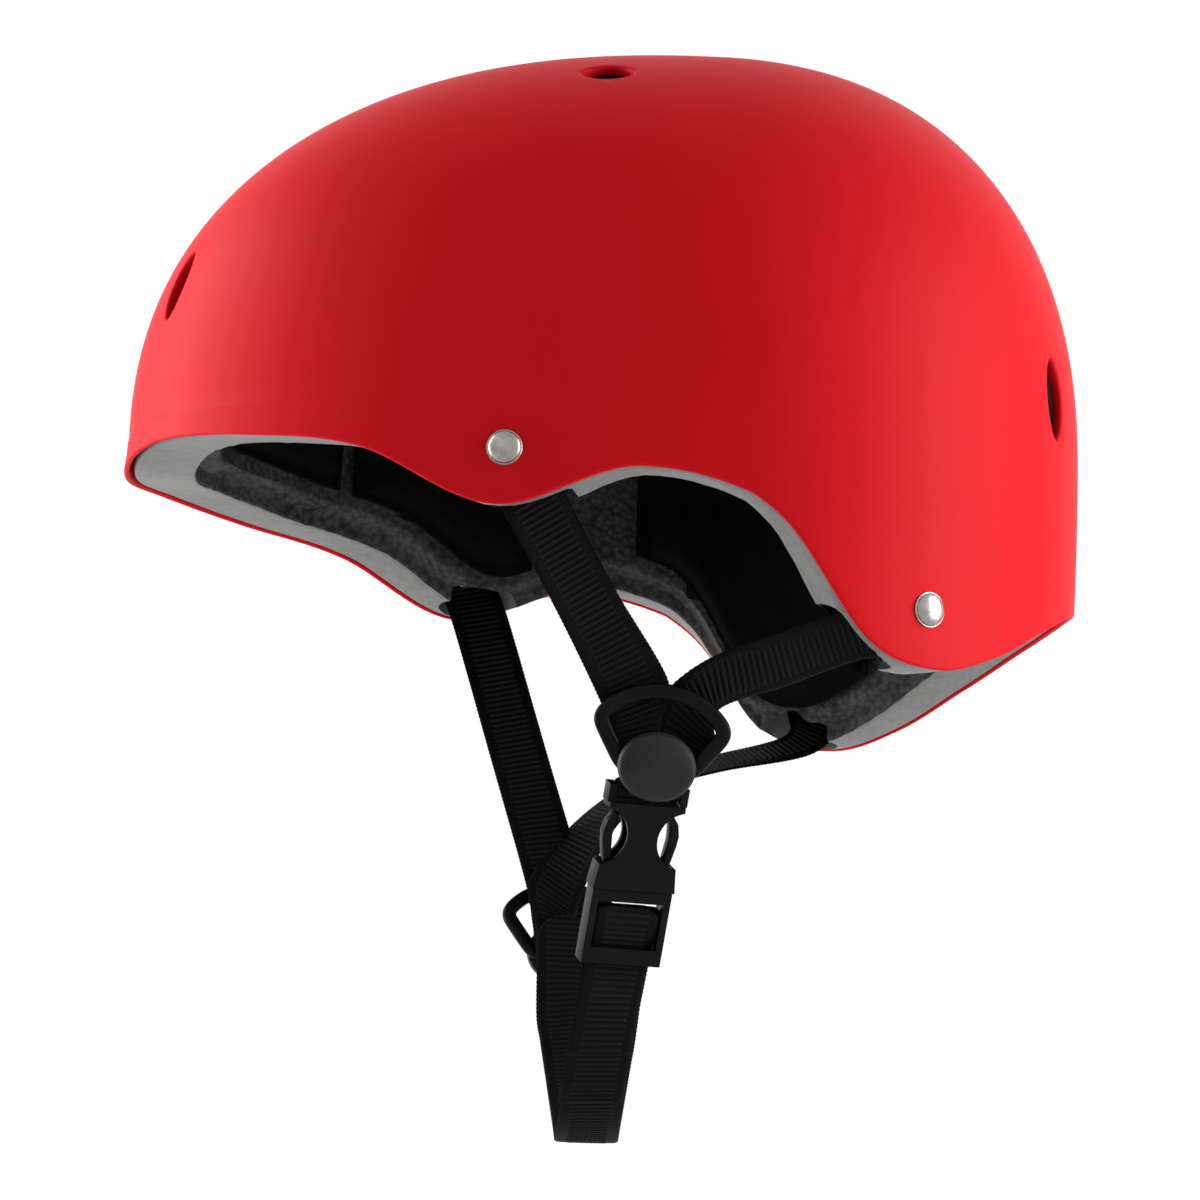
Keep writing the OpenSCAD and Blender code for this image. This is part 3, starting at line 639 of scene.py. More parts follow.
def build_liner(look):
    """The foam liner: outer skin, a satin underside ring, a rough step and the inner bowl."""
    low, high = 14, 34
    a = bearings(look.liner_around)
    rim = rim_height(a)
    base = rim + LINER_RISE
    rings = dome_rings(a, high, LINER_OUT)[::-1]
    for s in low_shares(low)[:0:-1]:
        z = mix(base + 1.5, 0, s)
        rings.append(skin(a, z, [wall(z - rim) + LINER_GAP] * 3))
    bottom_out = np.full(3, EDGE_T + LINER_GAP)
    for inset, rise in LINER_UNDER:
        rings.append(skin(a, base + rise, bottom_out + inset))
    for t in np.linspace(0.15, 0.93, 7):
        sag = 0.35 * math.sin(math.pi * t)
        rings.append(skin(a, base - sag * 0.5, mix(bottom_out, LINER_BOTTOM_IN, t)))
    k = np.arange(look.liner_around)
    ragged = 0.35 * np.sin(k * 2.399) + 0.25 * np.sin(k * 0.7133 + 1)
    for inset, rise in LINER_EDGE:
        rings.append(skin(a, base + rise + ragged * 0.4, LINER_BOTTOM_IN + [inset, inset, 0]))
    for t in (0.45, 0.7, 0.86):
        rings.append(skin(a, base + 5.3 + t + ragged * 0.5, mix(LINER_BOTTOM_IN, LINER_IN, t)))
    for s in low_shares(low):
        rings.append(skin(a, mix(base + 7.4, 0, s), LINER_IN))
    rings += dome_rings(a, high, LINER_IN)
    obj = new_piece("liner", *bowl(rings), "helmet", ["foam_liner"], "liner_foam", MATS["foam"])
    obj.data.materials.append(MATS["foam_rough"])
    cutters = [vent_cutter(v, VENT_SHAFT, 32) for v in VENTS]
    cutters += [strap_pocket(strap) for strap in STRAPS.values()]
    cut(obj, cutter_object(cutters))
    colour_liner(obj)
    shade(obj, 45)


def colour_liner(obj):
    """Faces of the step and of the inner bowl get the open foam; the underside keeps its skin."""
    mesh = obj.data
    centres = np.zeros(len(mesh.polygons) * 3)
    mesh.polygons.foreach_get("center", centres)
    centres = centres.reshape(-1, 3) / MM
    inner = (outside(centres, LINER_BOTTOM_IN - [0.3, 0.3, 0]) < 0) | (centres[:, 2] > 95)
    mesh.polygons.foreach_set("material_index", inner.astype(np.int32))


# ---------------------------------------------------------------- pads

PAD_T = 7.0
PAD_OUT = LINER_IN + 2.1
PADS = {"brow_pad": (-40, 40, 11, 36), "left_temple_pad": (43, 71, 11, 38),
        "right_temple_pad": (-71, -43, 11, 38), "left_side_pad": (85, 137, 11, 38),
        "right_side_pad": (-137, -85, 11, 38), "rear_pad": (141, 219, 11, 26)}


FLANGE_W, FLANGE_SHARE, PLUMP_RUN = 3.0, 0.2, 9.0


def plump(edge):
    """Thickness share of a stuffed pad at a distance from its edge: a thin sewn flange, then a
    quarter round up to one."""
    rise = np.clip((edge - FLANGE_W) / PLUMP_RUN, 0, 1)
    return FLANGE_SHARE + (1 - FLANGE_SHARE) * np.sqrt(1 - (1 - rise) ** 2)


PAD_MM_PER_DEGREE = 1.75


def build_wall_pad(name, spec):
    """A pad that lines the liner's wall between two bearings, plumped towards the head."""
    a0, a1, low, high = spec
    u, v = np.meshgrid(np.linspace(0, 1, 96), np.linspace(0, 1, 40))
    a = mix(a0, a1, u)
    start = rim_height(a) + low
    z = mix(start, high, v)
    long, tall = abs(a1 - a0) * PAD_MM_PER_DEGREE, float((high - start).mean())
    share = plump(np.minimum(np.minimum(u, 1 - u) * long, np.minimum(v, 1 - v) * tall))
    crease = 0.25 * np.sin(u * long * 0.33 + 3 * v) * np.sin(v * tall * 0.27 + 1.7 * u)
    thick = (PAD_T + crease) * share
    outer = skin(a, z, PAD_OUT)
    toward = unit(np.stack([outer[..., 0] - MID_X * 0.6, outer[..., 1] * 1.25,
                            np.maximum(outer[..., 2], 0) * 1.3], -1))
    uv = np.tile(np.stack([u * long, v * tall], -1).reshape(-1, 2), (2, 1))
    new_piece(name + "_cushion", *slab(outer, outer - toward * thick[..., None]), "helmet",
                        [name], "pad_cloth", MATS["pad"], uv=uv, smooth=80)


CROWN_PAD_REACH = (52.0, 81.5)
CROWN_PAD_W = 62


def build_crown_pad():
    """The round cushion under the crown, with a bound hole round the middle vent."""
    around, rows = 96, 30
    a = bearings(around)
    out, under = [], []
    for s in np.linspace(0, 1, rows):
        z = (CROWN_H - PAD_OUT[2]) * math.sin(math.radians(mix(*CROWN_PAD_REACH, s)))
        ring = skin(a, z, PAD_OUT)
        out.append(ring)
        under.append(ring - np.array([0, 0, PAD_T * plump(min(s, 1 - s) * CROWN_PAD_W)]))
    points = np.stack(out + under[::-1]).reshape(-1, 3)
    faces = grid_faces(2 * rows, around, closed_rows=True, closed_cols=True)
    new_piece("crown_cushion", points, faces, "helmet", ["crown_pad"], "pad_cloth",
                        MATS["pad"], uv=points[:, :2], smooth=80)


HOOK_BEARINGS = [-57, -28, 0, 28, 57, 98, 122, 160, 200, 238, 262]


HOOK_RISE = 24
HOOK_REACH, HOOK_HALF_H = 5, 8
HOOK_DEPTH = (0.8, 1.6)


def build_hook_patches():
    """Squares of hook tape with round corners, between the liner and the pads."""
    parts, uvs = [], []
    for b in HOOK_BEARINGS:
        u, v = np.meshgrid(np.linspace(-1, 1, 12), np.linspace(-1, 1, 12))
        corner = np.minimum(1, 1.08 / np.maximum(np.hypot(u, v) ** 0.35, 1e-6))
        a = b + u * corner * HOOK_REACH
        z = float(rim_height(b)) + HOOK_RISE + v * corner * HOOK_HALF_H
        parts.append(slab(*(skin(a, z, LINER_IN + depth) for depth in HOOK_DEPTH)))
        uvs.append(np.tile(np.stack([u, v], -1).reshape(-1, 2) * HOOK_HALF_H, (2, 1)))
    new_piece("hook_patches", *joined(parts), "helmet", ["pad_hook_patches"], "hook_tape",
              MATS["hook"], uv=np.concatenate(uvs))


# ---------------------------------------------------------------- webbing

WEB_W, WEB_T = 18.5, 1.4
RIB_PITCH, RIB_REACH = 1.75, 0.66
STRAP_OVER = 7.0
CHANNEL_R = 12.5
POCKET_DEPTH = 3.7


def turn(axis, degrees):
    """The matrix of a turn about an axis, 0 for x to 2 for z."""
    c, s = math.cos(math.radians(degrees)), math.sin(math.radians(degrees))
    i, j = (axis + 1) % 3, (axis + 2) % 3
    m = np.eye(3)
    m[i, i] = m[j, j] = c
    m[i, j], m[j, i] = -s, s
    return m


LEFT_PIVOT, RIGHT_PIVOT = np.array([-4.0, 79, -98]), np.array([8.0, -65, -138])
LEFT = (LEFT_PIVOT, turn(0, -17) @ turn(1, -6) @ turn(2, -3))
RIGHT = (RIGHT_PIVOT, turn(0, 16) @ turn(2, 4) @ np.diag([1, -1, 1]))
BUCKLE = (LEFT_PIVOT, turn(0, -22) @ turn(1, -6.2) @ turn(2, 12))
BAR_Y = -3.2


def placed(f, p):
    """Points p of the frame f = (origin, turn), in the helmet's own frame."""
    return f[0] + np.asarray(p, float) @ f[1].T


def anchor(rivet):
    """The place on the webbing's middle that a rivet passes through."""
    p, _, _, n = skin_frame(*rivet)
    return p - ANCHOR_DEPTH * n


FRONT_EDGES = [((16.6, -0.3, 13.0), (0.2, -1.2, 23.2)), ((13.8, 0, 6.5), (0.2, 0, 13)),
               ((8.8, 0, 1), (0.2, 0, 3)), ((8.4, 0, -3.4), (0.2, 0, -3.4))]
REAR_EDGES = [((-9.6, -0.6, 30.6), (-15.0, -2.4, 17.0)), ((0.8, -1.6, 19), (-15.4, -0.6, 7.5)),
              ((0.8, -1.6, 9), (-13.4, -0.3, 4.4)), ((-0.2, 0, 4.4), (-9.6, 0, 0.6)),
              ((-0.2, 0, -3.4), (-8.4, 0, -3.4))]
INNER_Y = -1.8
FAR_FRONT_EDGES = [((12.5, 0, 22), (-5.7, 0, 24.5)), ((10, 0, 8), (-8, 0, 9.5)),
                   ((8.6, 0, -3.4), (-8.6, 0, -3.4))]
FAR_REAR_EDGES = [((11, INNER_Y, 22), (-4, INNER_Y, 12)), ((9.3, INNER_Y, 6), (-8.4, INNER_Y, 2)),
                  ((8.6, INNER_Y, -3.4), (-8.6, INNER_Y, -3.4))]
STRAPS = {
    "front_left": ("front_left", LEFT, FRONT_EDGES, [(0.3, -25), (0.65, -25)], 1),
    "rear_left": ("rear_left", LEFT, REAR_EDGES, [(0.34, -30), (0.67, -30)], 1),
    "front_right": ("front_right", RIGHT, FAR_FRONT_EDGES, [(0.2, 0), (0.6, 0)], -1),
    "rear_right": ("rear_right", RIGHT, FAR_REAR_EDGES, [
        ((-65.5, -84.5, -70.5), 42), ((-38.6, -84, -77.5), 55), ((-20, -78, -84.6), 45),
        ((-2, -73, -98.4), 30)], -1)}


def ring_target(f, edges):
    """The middle between a strap's two edges where they first reach its ring's frame."""
    return placed(f, (np.array(edges[0][0]) + np.array(edges[0][1])) / 2)


def way_point(strap, k):
    """The k-th place on a strap's way: a point, or a share of the way to its ring."""
    rivet, f, edges, way, _ = strap
    where = way[k][0]
    if isinstance(where, tuple):
        return np.array(where, float)
    return mix(anchor(RIVETS[rivet]), ring_target(f, edges), where)


def strap_pocket(strap):
    """The channel that a strap's riveted end lies in: a round ended prism from rivet to rim, whose
    back is pressed flat against a skin just behind the shell."""
    n = skin_frame(*RIVETS[strap[0]])[3]
    ends = [anchor(RIVETS[strap[0]]) - 1.5 * n, way_point(strap, 0) - 0.5 * n]
    along = unit(ends[1] - ends[0])
    across = unit(np.cross(along, n))
    t = np.linspace(0, 2 * np.pi, 28, endpoint=False)
    ring = np.cos(t)[:, None] * across + np.sin(t)[:, None] * np.cross(across, along)
    rows = np.stack([ends[int(lat > 0)] + CHANNEL_R * (math.sin(lat) * along + math.cos(lat) * ring)
                     for lat in np.linspace(-np.pi / 2, np.pi / 2, 10)[1:-1]])
    behind = (POCKET_DEPTH,) * 3
    pressed = dropped_on_skin(rows, n, behind, (-20.0, 0.0))
    return capped_tube(np.where(outside(rows, behind)[..., None] > 0, pressed, rows))


def smoothed(points, k):
    """k points a span on the cubic that passes through every point and leaves each one along the
    line between its neighbours."""
    p = np.asarray(points, float)
    ext = np.concatenate([p[:1], p, p[-1:]])
    t = (np.arange(k) / k)[:, None]
    out = []
    for i in range(len(p) - 1):
        a, b, c, d = ext[i:i + 4]
        out.append(0.5 * (2 * b + (c - a) * t + (2 * a - 5 * b + 4 * c - d) * t * t
                          + (3 * b - a - 3 * c + d) * t ** 3))
    return np.concatenate(out + [p[-1:]])


def resampled(edge_a, edge_b, step):
    """Both edges at even steps along the middle line between them."""
    mid = (edge_a + edge_b) / 2
    length = np.concatenate([[0], np.cumsum(np.linalg.norm(np.diff(mid, axis=0), axis=1))])
    count = max(8, int(length[-1] / step))
    s = np.linspace(0, length[-1], count)
    pick = [np.stack([np.interp(s, length, e[:, k]) for k in range(3)], -1) for e in (edge_a, edge_b)]
    return pick[0], pick[1], s


EDGE_PITCH = 1.25


def web_mesh(edge_a, edge_b, rib=0.25, step=0.29, hem=0.0):
    """Webbing between two edges: a flat oval section carried along them. Raised ribs cross its
    middle, its borders are plain, and its edges waver a little where the weft turns back. A hem
    is a length at the end that is thicker."""
    a, b, s = resampled(edge_a, edge_b, step)
    half, mid = (a - b) / 2, (a + b) / 2
    w = unit(half)
    n = unit(np.cross(w, unit(np.gradient(mid, axis=0))))
    cols = 30
    x = np.concatenate([np.linspace(-1, 1, cols), np.linspace(1, -1, cols)[1:-1]])
    face = np.concatenate([np.ones(cols), -np.ones(cols - 2)])
    face[0] = face[cols - 1] = 0
    body = (1 - np.abs(x) ** 14) ** 0.5
    middle = np.clip((RIB_REACH - np.abs(x)) / 0.08, 0, 1)
    wave = np.cos(2 * np.pi * s / RIB_PITCH)[:, None]
    edge_wave = np.cos(2 * np.pi * s / EDGE_PITCH)[:, None]
    ridge = np.sign(wave) * np.abs(wave) ** 0.7 * middle + 0.25 * (1 - middle) * edge_wave
    thick = (WEB_T / 2 + rib * (ridge - 0.9) * np.abs(face)) * body
    if hem:
        thick = thick + 0.35 * np.clip((hem - (s[-1] - s)) / 0.8, 0, 1)[:, None] * body
    width = np.linalg.norm(half, axis=1)[:, None]
    across = x * width * np.where(np.abs(x) > 0.97, 0.994 + 0.008 * edge_wave, 0.993)
    points = (mid[:, None, :] + across[..., None] * w[:, None, :]
              + (face * thick)[..., None] * n[:, None, :])
    rows, c = points.shape[:2]
    faces = [f[::-1] for f in grid_faces(rows, c, closed_cols=True)]
    faces += [list(range(c)), [(rows - 1) * c + k for k in range(c - 1, -1, -1)]]
    uv = np.stack([across, np.broadcast_to(s[:, None], across.shape)], -1)
    return points.reshape(-1, 3), faces, uv.reshape(-1, 2)


def webbing_piece(name, edges, body, node_name, **shape):
    """A length of webbing between two edges, as a piece that stands for a CAD node."""
    points, faces, uv = web_mesh(*edges, **shape)
    return new_piece(name, points, faces, body, [node_name], "webbing", MATS["webbing"], uv=uv,
                     smooth=70)


def strap_edges(strap):
    """The two edges of a side strap, from its riveted end down to the ring's post."""
    rivet, f, ends, way, hand = strap
    n = skin_frame(*RIVETS[rivet])[3]
    a = anchor(RIVETS[rivet])
    start = way_point(strap, 0) - a
    along = unit(start - (start @ n) * n)
    centres = [a + k * STRAP_OVER * along for k in (-1, 0, 1)]
    centres += [way_point(strap, k) for k in range(len(way))] + [ring_target(f, ends)]
    turns = [0, 0, 0] + [w[1] for w in way]
    edges = [[], []]
    for i, turned in enumerate(turns):
        d = unit(centres[i + 1] - centres[max(0, i - 1)])
        w = unit(np.cross(d, n))
        r = math.radians(turned)
        h = hand * (w * math.cos(r) + np.cross(d, w) * math.sin(r)) * WEB_W / 2
        edges[0].append(centres[i] + h)
        edges[1].append(centres[i] - h)
    for both in ends:
        for edge, p in zip(edges, both):
            edge.append(placed(f, p))
    return [smoothed(edge, 24) for edge in edges]


def build_side_strap(name):
    """A side strap, from its rivet to its divider."""
    webbing_piece(name + "_webbing", strap_edges(STRAPS[name]), "helmet", name + "_strap")


CHAIN_A, CHAIN_LOW, CHAIN_X = 42.5, -198.0, 5.5
CHAIN_LEAN = (0.088, -0.152, 0.176)


def chain(y):
    """The hanging curve: height rises as a chain's does, and it leans sideways as it climbs."""
    y = np.asarray(y, float)
    rise = CHAIN_A * (np.cosh(y / CHAIN_A) - 1)
    return np.stack([CHAIN_X + CHAIN_LEAN[0] * y + np.where(y > 0, *CHAIN_LEAN[1:]) * rise, y,
                     CHAIN_LOW + rise], -1)


def chain_edge(y0, y1, t0, t1, side, k, off):
    """One edge of the hanging webbing, turned from t0 to t1 about the vertical, off to one side."""
    s = np.linspace(0, 1, k + 1)
    y, t = mix(y0, y1, s), np.radians(mix(t0, t1, s))
    d = unit(chain(y + 0.5) - chain(y - 0.5))
    level = np.stack([np.cos(t), np.sin(t), np.zeros_like(t)], -1)
    w = unit(np.cross(np.cross(d, level), d))
    return chain(y) + side * w * WEB_W / 2 + off * np.cross(d, w)


LEG_TURN = (2, 9)
LEG_JOIN_Y = 46
LEG_TOP = [(-2.1, -60.4), (-2.1, -57.5), (-2.2, -52), (-2.6, -46.4), (-1.9, -43.1), (-0.1, -42.1),
           (1.6, -43.3), (2.1, -46.4), (1.2, -50), (0.1, -54), (0.1, -58.35)]
TAIL_TOP = (0.1, -58.9)
TAIL_SHIFT = (1.2, 0, 0)
TAIL_END_Y = 31

# Half widths and heights over the right post: the strap ends in a round tip that covers its head
RIGHT_TIP = [(9.25, -9), (9.25, -3.5), (9.2, 0), (8.6, 3.2), (7.1, 5.9), (4.6, 8.0), (1.4, 9.1)]


def in_plug(x, y, z):
    """A point of the buckle's frame, measured from its bar's level."""
    return placed(BUCKLE, (x, BAR_Y + y, z))


def build_chin_straps():
    """The right half of the chin strap, the left half that doubles round the ladder's bar, and the free
    end. The left half runs from the hanging curve up to the plug and rides on no body; its mesh is baked
    in place."""
    right, left, tail = [], [], []
    for s in (1, -1):
        tip = [(s * w, -5.0, z) for w, z in RIGHT_TIP]
        hang = chain_edge(0.0, -54, LEG_TURN[0], -3, s, 11, 0)
        right.append(smoothed(np.concatenate([hang, placed(RIGHT, tip)]), 14))
        hang = chain_edge(0.0, LEG_JOIN_Y, *LEG_TURN, s, 8, 0)
        top = np.array([in_plug(s * WEB_W / 2, y, z) for y, z in LEG_TOP])
        left.append(smoothed(np.concatenate([hang, top]), 12))
        hang = chain_edge(LEG_JOIN_Y, TAIL_END_Y, LEG_TURN[1] + 2, LEG_TURN[0] + 4, s, 5, 2.2)
        start = in_plug(s * WEB_W / 2, *TAIL_TOP)[None]
        tail.append(smoothed(np.concatenate([start, hang + TAIL_SHIFT]), 14))
    webbing_piece("chin_webbing_right", right, "chin_loop", "chin_strap_right")
    leg = webbing_piece("chin_webbing_left", left, None, "chin_strap_left", rib=0.16)
    webbing_piece("chin_webbing_tail", tail, "tail", "strap_tail", hem=9.0)
    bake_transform(leg)


SOCKET_BAR_R, SOCKET_BAR_Z = 1.65, -8.4


def build_socket_tab():
    """The sewn webbing loop round the socket's bar."""
    t = np.linspace(0, 2 * np.pi, 49)
    r = SOCKET_BAR_R + WEB_T / 2
    ring = np.stack([np.zeros_like(t), BAR_Y + r * np.cos(t), SOCKET_BAR_Z + r * np.sin(t)], -1)
    edges = [placed(BUCKLE, ring + [s * WEB_W / 2, 0, 0]) for s in (1, -1)]
    webbing_piece("socket_loop", edges, "chin_loop", "socket_tab", rib=0.12)


# ---------------------------------------------------------------- hard harness parts

RIVET_BRIM = [(4.8, 0.5), (4.95, 0.3), (4.9, 0.08), (4.6, 0.0)]
RIVET_FOOT = [(2.0, 0.0), (3.1, -0.1), (3.2, -0.5), (2.6, -0.8), (1.2, -0.85), (0, -0.7)]
WASHER_LOOP = np.array([(2.15, 0.1), (2.3, 0), (5.8, 0), (6.0, 0.2), (6.0, 0.8), (5.8, 1.0),
                        (2.3, 1.0), (2.15, 0.9)])


def build_rivet(name, spec):
    """A domed rivet: head with a rolled brim outside, shank and spread foot inside."""
    p, side, _, n = skin_frame(*spec)
    t = np.linspace(0, np.pi / 2, 12)
    head = [(0, 2.35)] + [(4.55 * math.sin(x), 0.55 + 1.8 * math.cos(x)) for x in t[1:]]
    foot = -ANCHOR_DEPTH - WEB_T / 2 - 1.6
    shank = [(2.0, 0.0)] + [(r, foot + rise) for r, rise in RIVET_FOOT]
    new_piece(name + "_stud", *revolved(head + RIVET_BRIM + shank, 48, p, n, side), "helmet",
              [name + "_rivet"], "rivet_metal", MATS["metal"], smooth=40)


def build_washers():
    """A flat ring with rounded edges behind the webbing at each rivet."""
    parts = []
    t = np.linspace(0, 2 * np.pi, 40, endpoint=False)
    for spec in RIVETS.values():
        p, side, up, n = skin_frame(*spec)
        at = p - n * (ANCHOR_DEPTH + WEB_T / 2 + 1.5)
        ring = np.cos(t)[:, None] * side + np.sin(t)[:, None] * up
        points = at + WASHER_LOOP[:, 0, None, None] * ring + WASHER_LOOP[:, 1, None, None] * n
        parts.append((points.reshape(-1, 3),
                      grid_faces(len(WASHER_LOOP), len(t), closed_rows=True, closed_cols=True)))
    new_piece("washers", *joined(parts), "helmet", ["rivet_washers"], "rivet_metal", MATS["metal"],
              smooth=40)


RING_BAR, RING_THICK = 4.2, 3.0
RING_Y = (1.1, 4.1)
RING_ARC_R, RING_DROP, RING_ARC_FROM = 22.9, -0.7, 34
RING_BOTTOM = [(9.2, -1.2), (8.0, -1.7)]


def ring_line(count=220):
    """Middle line of the divider's ring: arc over the top, straight sides, short bottom. Each
    point is then drawn towards its neighbours many times, which rounds the corners."""
    r = RING_ARC_R - RING_BAR / 2 + 0.4
    a0 = math.radians(RING_ARC_FROM)
    arc = [(r * math.cos(x), RING_DROP + r * math.sin(x)) for x in np.linspace(a0, math.pi - a0, 24)]
    p = np.array([(-x, z) for x, z in RING_BOTTOM] + RING_BOTTOM[::-1] + arc)
    p = np.concatenate([p, p[:1]])
    length = np.concatenate([[0], np.cumsum(np.linalg.norm(np.diff(p, axis=0), axis=1))])
    s = np.linspace(0, length[-1], count, endpoint=False)
    q = np.stack([np.interp(s, length, p[:, k]) for k in range(2)], -1)
    for _ in range(44):
        q = (np.roll(q, 1, 0) + 2 * q + np.roll(q, -1, 0)) / 4
    return q


def rounded(wave):
    """A sine or cosine pushed out towards a square's."""
    return np.sign(wave) * np.abs(wave) ** 0.62


def build_ring(name, f):
    """The strap divider's ring: a rounded bar carried round its line, and the hub at the post."""
    line = ring_line()
    d = unit(np.roll(line, -1, 0) - np.roll(line, 1, 0))
    out = np.stack([d[:, 1], -d[:, 0]], -1)
    t = np.linspace(0, 2 * np.pi, 20, endpoint=False)
    xz = line[:, None, :] + (rounded(np.cos(t)) * RING_BAR / 2)[None, :, None] * out[:, None, :]
    y = sum(RING_Y) / 2 + rounded(np.sin(t)) * RING_THICK / 2
    bar = np.stack([xz[..., 0], np.broadcast_to(y, xz.shape[:2]), xz[..., 1]], -1).reshape(-1, 3)
    hub, hub_faces = revolved([(0, 0), (5.1, 0), (5.5, 0.4), (5.5, 2.6), (5.1, 3.0), (0, 3.0)], 40,
                              np.array([0, RING_Y[0], 0.0]), [0, 1, 0], [1, 0, 0])
    parts = [(placed(f, bar), grid_faces(len(line), len(t), closed_rows=True, closed_cols=True)),
             (placed(f, hub), hub_faces)]
    new_piece(name + "_ring", *joined(parts), "helmet", [name + "_divider_ring"],
              "harness_plastic", MATS["gloss"], smooth=45)


def build_button(name, f):
    """The divider's oval cap: a low dome with a rounded edge."""
    t = np.linspace(0, np.pi / 2, 16)
    top = [(0, 4.1)] + [(9.6 * math.sin(x) ** 0.9, 2.3 + 1.8 * math.cos(x)) for x in t[1:]]
    side = [(9.9, 2.0), (10.0, 1.5), (10.0, 0.5), (9.8, 0.1), (9.2, 0.0), (0, 0.0)]
    points, faces = revolved(top + side, 72, np.array([0, RING_Y[1] + 0.1, 0]), [0, 1, 0], [1, 0, 0],
                             (1.07, 0.95))
    new_piece(name + "_cap", placed(f, points), faces, "helmet", [name + "_divider_button"],
              "button_plastic", MATS["button"], smooth=50)


def build_post(name, f, head_r, strap_y):
    """The divider's post and its flat back plate."""
    back, tip = strap_y - WEB_T / 2 - 0.15, RING_Y[1] + 1.3
    head = [(0, back - 1.4), (head_r - 0.5, back - 1.4), (head_r, back - 1.0), (head_r, back - 0.2),
            (head_r - 0.2, back), (2.4, back), (2.4, tip), (2.1, tip + 0.4), (0, tip + 0.5)]
    points, faces = revolved(head, 48, np.zeros(3), [0, 1, 0], [1, 0, 0])
    new_piece(name + "_pin", placed(f, points), faces, "helmet", [name + "_divider_post"],
              "harness_plastic", MATS["gloss"], smooth=40)


def softened(node_name, piece, body, material, width=0.4):
    """A copy of a CAD node with its triangles merged into plain faces and its edges rounded."""
    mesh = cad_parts[node_name].data.copy()
    mesh.materials.clear()
    obj = linked(piece, mesh)
    bm = bmesh.new()
    bm.from_mesh(mesh)
    bmesh.ops.remove_doubles(bm, verts=bm.verts, dist=2e-6)
    bmesh.ops.dissolve_limit(bm, angle_limit=math.radians(1.0), verts=bm.verts, edges=bm.edges)
    bm.to_mesh(mesh)
    bm.free()
    mesh.materials.append(material)
    mod = obj.modifiers.new("round", "BEVEL")
    mod.width, mod.segments, mod.limit_method = width * MM, 3, "ANGLE"
    mod.angle_limit = math.radians(32)
    mod.harden_normals = True
    mesh.shade_smooth()
    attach(obj, body)
    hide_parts(node_name)


def build_buckle():
    """Socket, plug with its ladder frame, and the two latch prongs."""
    for node_name, piece, body in (("buckle_socket", "socket", "chin_loop"),
                                   ("buckle_plug", "plug_frame", "plug"),
                                   ("front_latch_prong", "front_prong_arm", "front_prong"),
                                   ("rear_latch_prong", "rear_prong_arm", "rear_prong")):
        softened(node_name, piece, body, MATS["gloss"])


# ---------------------------------------------------------------- stage

CAMERA_AT = (103.5, 1105.5, -225.3)
CAMERA_BACK = (0.087252, 0.982516, -0.164466)
CAMERA_ROLL = 1.4219
CAMERA_LENS = 114.6


def build_camera():
    """The camera: its backward axis and roll give its turn."""
    back = Vector(CAMERA_BACK).normalized()
    right = Vector((0, 0, 1)).cross(back).normalized()
    up = back.cross(right)
    r = math.radians(CAMERA_ROLL)
    side = right * math.cos(r) + up * math.sin(r)
    top = up * math.cos(r) - right * math.sin(r)
    cam = bpy.data.cameras.new("camera")
    cam.lens, cam.sensor_width, cam.sensor_fit = CAMERA_LENS, 36, "HORIZONTAL"
    cam.clip_start, cam.clip_end = 0.05, 200
    place = Matrix((side, top, back)).transposed().to_4x4()
    place.translation = Vector(CAMERA_AT) * MM
    obj = linked("camera", cam)
    obj.matrix_world = place
    bpy.context.scene.camera = obj


def area_light(name, at, size, watts):
    """A soft box that faces the helmet's middle."""
    data = bpy.data.lights.new(name, "AREA")
    data.shape, data.size, data.size_y = "RECTANGLE", size[0], size[1]
    data.energy = watts
    obj = linked(name, data)
    obj.location = at
    obj.rotation_euler = (-Vector(at)).to_track_quat("-Z", "Y").to_euler()


def seen_directly(tree, path):
    """One on camera, glossy and transmission rays."""
    bent = math_node(tree, "MAXIMUM", path.outputs["Is Glossy Ray"], path.outputs["Is Transmission Ray"])
    return math_node(tree, "MAXIMUM", path.outputs["Is Camera Ray"], bent)


def shader_mix(tree, factor, first, second, output):
    """Mixes two shaders by a factor into an output's surface."""
    mixer = tree.nodes.new("ShaderNodeMixShader")
    link(tree, factor, mixer.inputs["Fac"])
    link(tree, first.outputs[0], mixer.inputs[1])
    link(tree, second.outputs[0], mixer.inputs[2])
    link(tree, mixer.outputs[0], output.inputs["Surface"])


def build_world(fill):
    """White to the camera, in reflections and through glass; a soft even fill for the rest."""
    world = bpy.data.worlds.new("studio")
    bpy.context.scene.world = world
    world.use_nodes = True
    tree = world.node_tree
    tree.nodes.clear()
    light, white = (node(tree, "ShaderNodeBackground", Strength=strength, Color=(1, 1, 1, 1))
                    for strength in (fill, 1.0))
    path = tree.nodes.new("ShaderNodeLightPath")
    shader_mix(tree, seen_directly(tree, path), light, white, tree.nodes.new("ShaderNodeOutputWorld"))


FLOOR_HALF, FLOOR_GLOW = 30.0, 0.75


def build_floor(height):
    """A pale floor that shows white to the camera and keeps a soft shadow."""
    mat, tree, shader = new_material("pale_floor", Roughness=0.8, Base_Color=(0.9, 0.9, 0.9, 1))
    glow = node(tree, "ShaderNodeEmission", Strength=1.0)
    path = tree.nodes.new("ShaderNodeLightPath")
    seen = math_node(tree, "MULTIPLY", seen_directly(tree, path), FLOOR_GLOW)
    shader_mix(tree, seen, shader, glow, tree.nodes["Material Output"])
    mesh = bpy.data.meshes.new("floor")
    corners = [(x * FLOOR_HALF, y * FLOOR_HALF, height) for x, y in ((-1, -1), (1, -1), (1, 1), (-1, 1))]
    mesh.from_pydata(corners, [], [(0, 1, 2, 3)])
    mesh.materials.append(mat)
    linked("floor", mesh)


# ---------------------------------------------------------------- settings

